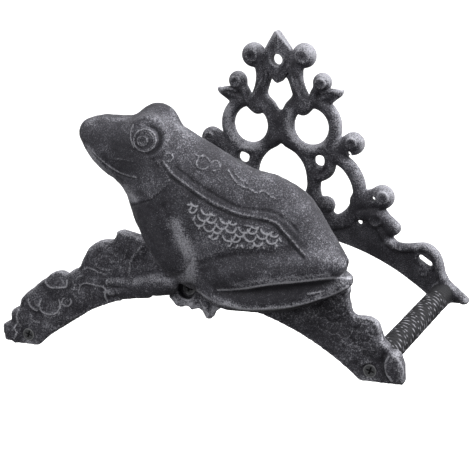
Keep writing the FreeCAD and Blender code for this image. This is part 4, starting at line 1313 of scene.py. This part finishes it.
@dataclass
class Bar:
    """A round spacer bar: smooth collars and slanted ridges, like twisted stems, cast along it."""

    name: str
    x: float
    z: float
    radius: float = 8.6
    length: float = FRONT_REAR - BACK_THICK
    collar: float = 17.0
    ridge: float = 0.55

    def surface(self) -> Surface:
        """Radius over angle and length: the bar's radius less slanted waves that fade out at the collars.

        Returns:
            The bar, closed by flat ends.
        """
        rows, columns = 230, 120
        along = np.linspace(0.0, self.length, rows)[:, None]
        angle = (np.arange(columns) / columns * 2 * np.pi)[None, :]
        fade = np.clip(np.minimum(along - self.collar, self.length - 9.0 - along) / 3.0, 0.0, 1.0)
        bend = 0.5 * np.sin(along * 0.21 + 2 * angle) + 0.3 * np.sin(along * 0.9 - 3 * angle)
        slant = along * 1.35 + angle * 2 + 1.6 * bend
        wave = (0.5 + 0.5 * np.cos(slant)) ** 2
        small = 0.5 + 0.5 * np.sin(angle * 7 - along * 0.8 + 3.0 * bend)
        sunk = fade * self.ridge * (1.1 * (1.0 - wave) + 0.3 * (1.0 - small))
        radius = self.radius - np.maximum(sunk, 0.0) - 0.05
        bevel = np.clip(1.2 - np.minimum(along, self.length - along), 0.0, 1.2)
        radius = radius - 0.35 * bevel ** 2
        worn = fade * wave ** 2 * np.clip(small * 1.6 - 0.4, 0.0, 1.0)
        radius = np.pad(radius, ((1, 1), (0, 0)))
        along, worn = (np.pad(item, ((1, 1), (0, 0)), mode="edge") for item in (along, worn))
        x = self.x + radius * np.cos(angle)
        z = self.z + radius * np.sin(angle)
        y = -(BACK_THICK + along) + 0.0 * angle
        points = np.stack([x, y, z], axis=-1).reshape(-1, 3)
        worn = worn.ravel()
        # The ridge crests take pale worn paint; the whole bar is darkened as painted shade, most on the
        # collars and between the ridges.
        marks = {"edge": 0.3 * worn, "painted_shade": 1.35 - 1.2 * worn, "line": 1.3 * worn,
                 "rub_and_shading": np.full(len(points), -1.2)}
        return Surface(self.name + "_casting", points, tube_quads(rows + 2, columns), marks)

    def build(self, finish: bpy.types.Material) -> None:
        """Mesh and dress the bar."""
        self.surface().build((self.name,), "iron", finish)


class Facing(Enum):
    """Which way a screw's head looks."""

    ROOM = -1.0
    WALL = 1.0


@dataclass
class Screw:
    """A countersunk machine screw with a cross recess."""

    name: str
    x: float
    z: float
    face: float
    facing: Facing
    head: float = 4.55
    shank: float = 2.4
    length: float = 20.0
    recess: float = 2.7
    arm: float = 0.55
    turn: float = 20.0

    def surface(self) -> Surface:
        """Turned profile from the head's middle to the tip; the cross is where either arm's width is near.

        Returns:
            The screw, closed at both ends.
        """
        columns, rows = 128, 34
        face = np.stack([np.linspace(0.02, self.head - 0.35, rows), np.zeros(rows)], axis=1)
        neck = (self.shank, self.head - self.shank + 0.1)
        body = np.array([(self.head - 0.1, 0.1), (self.head, 0.35), neck])
        turns = np.arange(rows)
        thread = np.stack([self.shank - 0.25 * (turns % 2), 3.0 + 0.5 * turns], axis=1)
        tip = np.array([(self.shank - 0.5, self.length), (0.02, self.length)])
        profile = np.concatenate([face, body, thread, tip])
        angle = (np.arange(columns) / columns * 2 * np.pi)[None, :]
        radius, depth = profile[:, :1], profile[:, 1:]
        turned = angle + math.radians(self.turn)
        near = np.minimum(np.abs(radius * np.cos(turned)), np.abs(radius * np.sin(turned)))
        width = self.arm * (1.25 - 0.35 * radius / self.recess)
        inside = np.clip((width - near) / 0.22 + 0.5, 0, 1)
        inside = inside * np.clip((self.recess - radius) / 0.3 + 0.5, 0, 1)
        inside = np.where(depth > 0.0, 0.0, inside)
        depth = depth + 1.5 * inside * (1.0 - 0.25 * radius / self.recess)
        x = self.x + radius * np.cos(angle)
        z = self.z + radius * np.sin(angle)
        y = -self.face - self.facing.value * depth + 0.0 * angle
        points = np.stack([x, y, z], axis=-1).reshape(-1, 3)
        quads = tube_quads(len(profile), columns)
        if self.facing is Facing.WALL:
            quads = quads[:, ::-1]
        # The head's rim and the recess's lip take worn bright steel; the cross recess is darkened as painted
        # shade.
        rim = np.exp(-((radius - self.head + 0.5) / 0.35) ** 2) + 0.0 * angle
        lip = np.exp(-(((inside - 0.12) / 0.12) ** 2)) * (inside > 0.01)
        marks = {"edge": np.clip(0.6 * rim + 0.7 * lip, 0, 1).ravel(), "painted_shade": inside.ravel(),
                 "line": np.zeros(len(points))}
        return Surface(self.name + "_turned", points, quads, marks)

    def build(self, finish: bpy.types.Material) -> None:
        """Mesh and dress the screw."""
        self.surface().build((self.name,), "screw_steel", finish)


# Finishes


class Term:
    """A shader socket with arithmetic: each operation adds a Math node."""

    def __init__(self, graph: "Graph", socket: bpy.types.NodeSocket) -> None:
        """Wrap a socket of a graph."""
        self.graph = graph
        self.socket = socket

    def _math(self, operation: str, *values: "Term | float") -> "Term":
        """Add a Math node over values."""
        return self.graph.node("ShaderNodeMath", {"operation": operation}, *values)

    def __add__(self, other: "Term | float") -> "Term":
        """Sum."""
        return self._math("ADD", self, other)

    def __sub__(self, other: "Term | float") -> "Term":
        """Difference."""
        return self._math("SUBTRACT", self, other)

    def __rsub__(self, other: float) -> "Term":
        """Difference from a number."""
        return self._math("SUBTRACT", other, self)

    def __mul__(self, other: "Term | float") -> "Term":
        """Product."""
        return self._math("MULTIPLY", self, other)

    __radd__ = __add__
    __rmul__ = __mul__

    def clip(self, low: float = 0.0, high: float = 1.0) -> "Term":
        """Keep within low and high."""
        return self.graph.node("ShaderNodeClamp", {}, self, low, high)


class Graph:
    """The nodes of a material or of the world, which end in one shader."""

    def __init__(self, owner: bpy.types.ID, shader: str) -> None:
        """Switch the owner's nodes on and take the shader of that name."""
        owner.use_nodes = True
        self.owner = owner
        self.tree = owner.node_tree
        self.shader = self.tree.nodes[shader]

    def fill(self, socket: bpy.types.NodeSocket, value: object) -> None:
        """Link or set an input; None leaves it as it is."""
        if isinstance(value, Term):
            self.tree.links.new(value.socket, socket)
        elif value is not None:
            socket.default_value = value

    def node(self, kind: str, settings: dict, *values: object, output: str = "") -> Term:
        """Add a node: its settings first, then its inputs in order, by value or link.

        Args:
            kind: the node's type.
            settings: its properties.
            values: one for each input; None leaves an input as it is.
            output: the name of the output to return, or empty for the first.

        Returns:
            The output, wrapped.
        """
        item = self.tree.nodes.new(kind)
        for key, value in settings.items():
            setattr(item, key, value)
        inputs = [socket for socket in item.inputs if socket.enabled]
        for socket, value in zip(inputs, values):
            self.fill(socket, value)
        outputs = [socket for socket in item.outputs if socket.enabled and output in ("", socket.name)]
        return Term(self, outputs[0])

    def attribute(self, name: str) -> Term:
        """A number kept on the mesh's points."""
        return self.node("ShaderNodeAttribute", {"attribute_name": name}, output="Fac")

    def noise(self, scale: float, detail: float = 4.0, rough: float = 0.55) -> Term:
        """Noise over object coordinates; scale counts its cells in a metre."""
        place = self.node("ShaderNodeTexCoord", {}, output="Object")
        return self.node("ShaderNodeTexNoise", {}, place, scale, detail, rough)

    def mix(self, share: Term, first: tuple | Term, second: tuple | Term) -> Term:
        """Mix two colours, each a term or its red, green and blue."""
        colors = [item if isinstance(item, Term) else (*item, 1.0) for item in (first, second)]
        return self.node("ShaderNodeMix", {"data_type": "RGBA"}, share, *colors)

    def bump(self, height: Term, distance: float) -> Term:
        """Normals of a fine unevenness whose full height is a distance in metres."""
        result = self.node("ShaderNodeBump", {})
        inputs = result.socket.node.inputs
        for name, value in (("Strength", 0.6), ("Distance", distance), ("Height", height)):
            self.fill(inputs[name], value)
        return result

    def feed(self, name: str, value: object) -> None:
        """Link or set an input of the shader."""
        self.fill(self.shader.inputs[name], value)


@dataclass(frozen=True)
class AntiqueIron:
    """Charcoal cast iron with a pale grey dry-brush finish on its edges, ridges and grain, and painted light
    and shade.
    """

    name: str = "antique_iron"
    dark: Triple = (0.026, 0.025, 0.031)
    middle: Triple = (0.125, 0.124, 0.146)
    pale: Triple = (0.46, 0.46, 0.50)
    shade_black: Triple = (0.010, 0.010, 0.012)

    def make(self) -> bpy.types.Material:
        """Build the material: worn paint and painted light and shade, broken up by noise, choose among four
        colours.
        """
        graph = Graph(bpy.data.materials.new(self.name), "Principled BSDF")
        cloud = graph.noise(38.0, 5.0, 0.62)
        patch = graph.noise(120.0, 3.0, 0.6)
        grain = graph.noise(1050.0, 3.0, 0.75)
        fleck = graph.noise(1900.0, 2.0, 0.8)
        edge, painted_shade, line, rub_and_shading = (graph.attribute(name) for name in ("edge", "painted_shade", "line", "rub_and_shading"))
        # Tone between dark and middle: random, with painted light and shade from the marks mixed in.
        haze = (0.22 + (cloud - 0.5) * 1.9 + (patch - 0.5) * 1.5 + (grain - 0.5) * 3.6 + rub_and_shading * 0.45).clip()
        color = graph.mix(haze * 0.6, self.dark, self.middle)
        # Pale paint worn onto edges, with painted light on faces that look up and sideways and in lit
        # patches.
        brushed_and_lit = edge * 1.7 + rub_and_shading * 0.6 + (grain - 0.5) * 4.4
        brushed_and_lit = (brushed_and_lit + (cloud - 0.5) * 1.2 + (patch - 0.5) * 0.8 - 0.44).clip()
        color = graph.mix(brushed_and_lit * 0.66, color, self.pale)
        # Pale relief lines: partly worn paint, partly painted highlight.
        drawn = (line * 1.5 + (grain - 0.5) * 2.8 - 0.45).clip()
        color = graph.mix(drawn * 0.8, color, self.pale)
        specks = ((fleck - 0.60) * 14.0).clip() * (0.35 + haze * 0.65)
        color = graph.mix(specks * 0.75, color, self.pale)
        # Painted shade: hollows, sunk lines and recesses are darkened nearly to the darkest tone.
        color = graph.mix(painted_shade * 0.8, color, self.shade_black)
        graph.feed("Base Color", color)
        graph.feed("Roughness", (0.58 + (grain - 0.5) * 0.4 - brushed_and_lit * 0.06).clip(0.3, 0.95))
        graph.feed("Metallic", 0.2)
        graph.feed("Specular IOR Level", 0.26)
        graph.feed("Normal", graph.bump(grain * 0.8 + fleck * 0.5 + patch * 0.6, 0.0007))
        return graph.owner


@dataclass(frozen=True)
class ScrewSteel:
    """Blackened screw steel, worn bright on the head's rim."""

    name: str = "screw_steel"
    dark: Triple = (0.075, 0.077, 0.08)
    pale: Triple = (0.40, 0.40, 0.41)
    shade_black: Triple = (0.006, 0.006, 0.007)

    def make(self) -> bpy.types.Material:
        """Build the material."""
        graph = Graph(bpy.data.materials.new(self.name), "Principled BSDF")
        grain = graph.noise(1500.0, 3.0, 0.7)
        edge, painted_shade = graph.attribute("edge"), graph.attribute("painted_shade")
        worn = (edge * 0.8 + (grain - 0.45) * 1.1).clip()
        color = graph.mix(worn, self.dark, self.pale)
        # Painted shade: the cross recess is darkened nearly to the darkest tone.
        color = graph.mix(painted_shade, color, self.shade_black)
        graph.feed("Base Color", color)
        graph.feed("Roughness", (0.42 + (grain - 0.5) * 0.3).clip(0.2, 0.9))
        graph.feed("Metallic", 0.6)
        graph.feed("Normal", graph.bump(grain, 0.0002))
        return graph.owner


@dataclass(frozen=True)
class PalePaper:
    """The seamless pale floor, a little bright of itself so that it runs into the surround."""

    name: str = "pale_floor"
    glow: float = 0.62

    def make(self) -> bpy.types.Material:
        """Build the material: near white with a hint of mottling."""
        graph = Graph(bpy.data.materials.new(self.name), "Principled BSDF")
        cloud = graph.noise(3.0)
        graph.feed("Base Color", graph.mix(cloud, (0.90, 0.90, 0.90), (0.93, 0.93, 0.93)))
        graph.feed("Roughness", 0.9)
        graph.feed("Specular IOR Level", 0.0)
        graph.feed("Emission Color", (1.0, 1.0, 1.0, 1.0))
        graph.feed("Emission Strength", self.glow)
        return graph.owner


# Studio


@dataclass(frozen=True)
class Lamp:
    """A soft square light that looks at the hanger: place and side in metres, power in watts."""

    name: str
    place: Triple
    side: float
    power: float
    aim: Triple = (0.0, -0.1, -0.08)

    def build(self) -> None:
        """Make the light and turn it to the hanger."""
        data = bpy.data.lights.new(self.name, "AREA")
        data.size = self.side
        data.energy = self.power
        lamp = bpy.data.objects.new(self.name, data)
        lamp.location = self.place
        way = Vector(self.aim) - Vector(self.place)
        lamp.rotation_euler = way.to_track_quat("-Z", "Y").to_euler()
        bpy.context.scene.collection.objects.link(lamp)


@dataclass(frozen=True)
class Studio:
    """Pale floor, white surround and soft lights."""

    floor_drop: float = 0.55
    floor_half: float = 6.0
    sky: float = 0.95
    ground: float = 0.17
    lamps: tuple[Lamp, ...] = (
        Lamp("key", (1.55, 0.22, 1.05), 0.8, 50.0), Lamp("top", (-0.2, 0.5, 1.7), 0.9, 16.0),
        Lamp("fill", (-0.1, -1.7, 0.8), 1.1, 17.0))

    def build(self) -> None:
        """Make the floor, the world and the lights."""
        self.floor()
        self.world()
        bpy.context.scene.view_settings.view_transform = "Standard"
        for lamp in self.lamps:
            lamp.build()

    def floor(self) -> None:
        """A large plane below the hanger."""
        half, level = self.floor_half, -self.floor_drop
        corners = [(-half, -half, level), (half, -half, level), (half, half, level), (-half, half, level)]
        mesh = bpy.data.meshes.new("studio_floor")
        mesh.from_pydata(corners, [], [(0, 1, 2, 3)])
        mesh.materials.append(PalePaper().make())
        floor = bpy.data.objects.new("studio_floor", mesh)
        floor.visible_diffuse = False
        floor.visible_glossy = False
        bpy.context.scene.collection.objects.link(floor)

    def world(self) -> None:
        """A surround that is white to look at, and lights the hanger most from above and behind."""
        graph = Graph(bpy.data.worlds.new("surround"), "Background")
        place = graph.node("ShaderNodeTexCoord", {}, output="Generated")
        rear = graph.node("ShaderNodeSeparateXYZ", {}, place, output="Y")
        rise = graph.node("ShaderNodeSeparateXYZ", {}, place, output="Z")
        slope = graph.node("ShaderNodeMapRange", {}, rear * 0.6 + rise, -0.6, 1.2, self.ground, self.sky)
        seen = graph.node("ShaderNodeLightPath", {}, output="Is Camera Ray")
        graph.feed("Strength", graph.node("ShaderNodeMix", {}, seen, slope, 1.0))
        graph.feed("Color", (1.0, 1.0, 1.0, 1.0))
        bpy.context.scene.world = graph.owner


# Hanger


@dataclass(frozen=True)
class HoseHanger:
    """The whole hanger: for each bar its name, its place and how deep its front screw is sunk."""

    bars: tuple[tuple[str, float, float, float], ...] = (
        ("left", -BAR_SPREAD, SIDE_BAR, SIDE_SINK), ("centre", 0.0, TOP_BAR, CENTRE_SINK),
        ("right", BAR_SPREAD, SIDE_BAR, SIDE_SINK))

    def build(self) -> None:
        """Build every piece in order, from the wall outwards."""
        iron = AntiqueIron().make()
        steel = ScrewSteel().make()
        BackPlate().build(iron)
        FrontPlate().build(iron)
        Frog().build(iron)
        for name, x, z, sink in self.bars:
            Bar("bar_" + name, x, z).build(iron)
            Screw("rear_screw_" + name, x, z, SIDE_SINK, Facing.WALL).build(steel)
            face = FRONT_REAR + FRONT_THICK - sink
            Screw("front_screw_" + name, x, z, face, Facing.ROOM).build(steel)


def main() -> None:
    """Build the scene."""
    logging.basicConfig(level=logging.INFO, format="%(name)s: %(message)s")
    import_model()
    VIEW.build()
    Studio().build()
    HoseHanger().build()


if __name__ == "__main__":
    main()
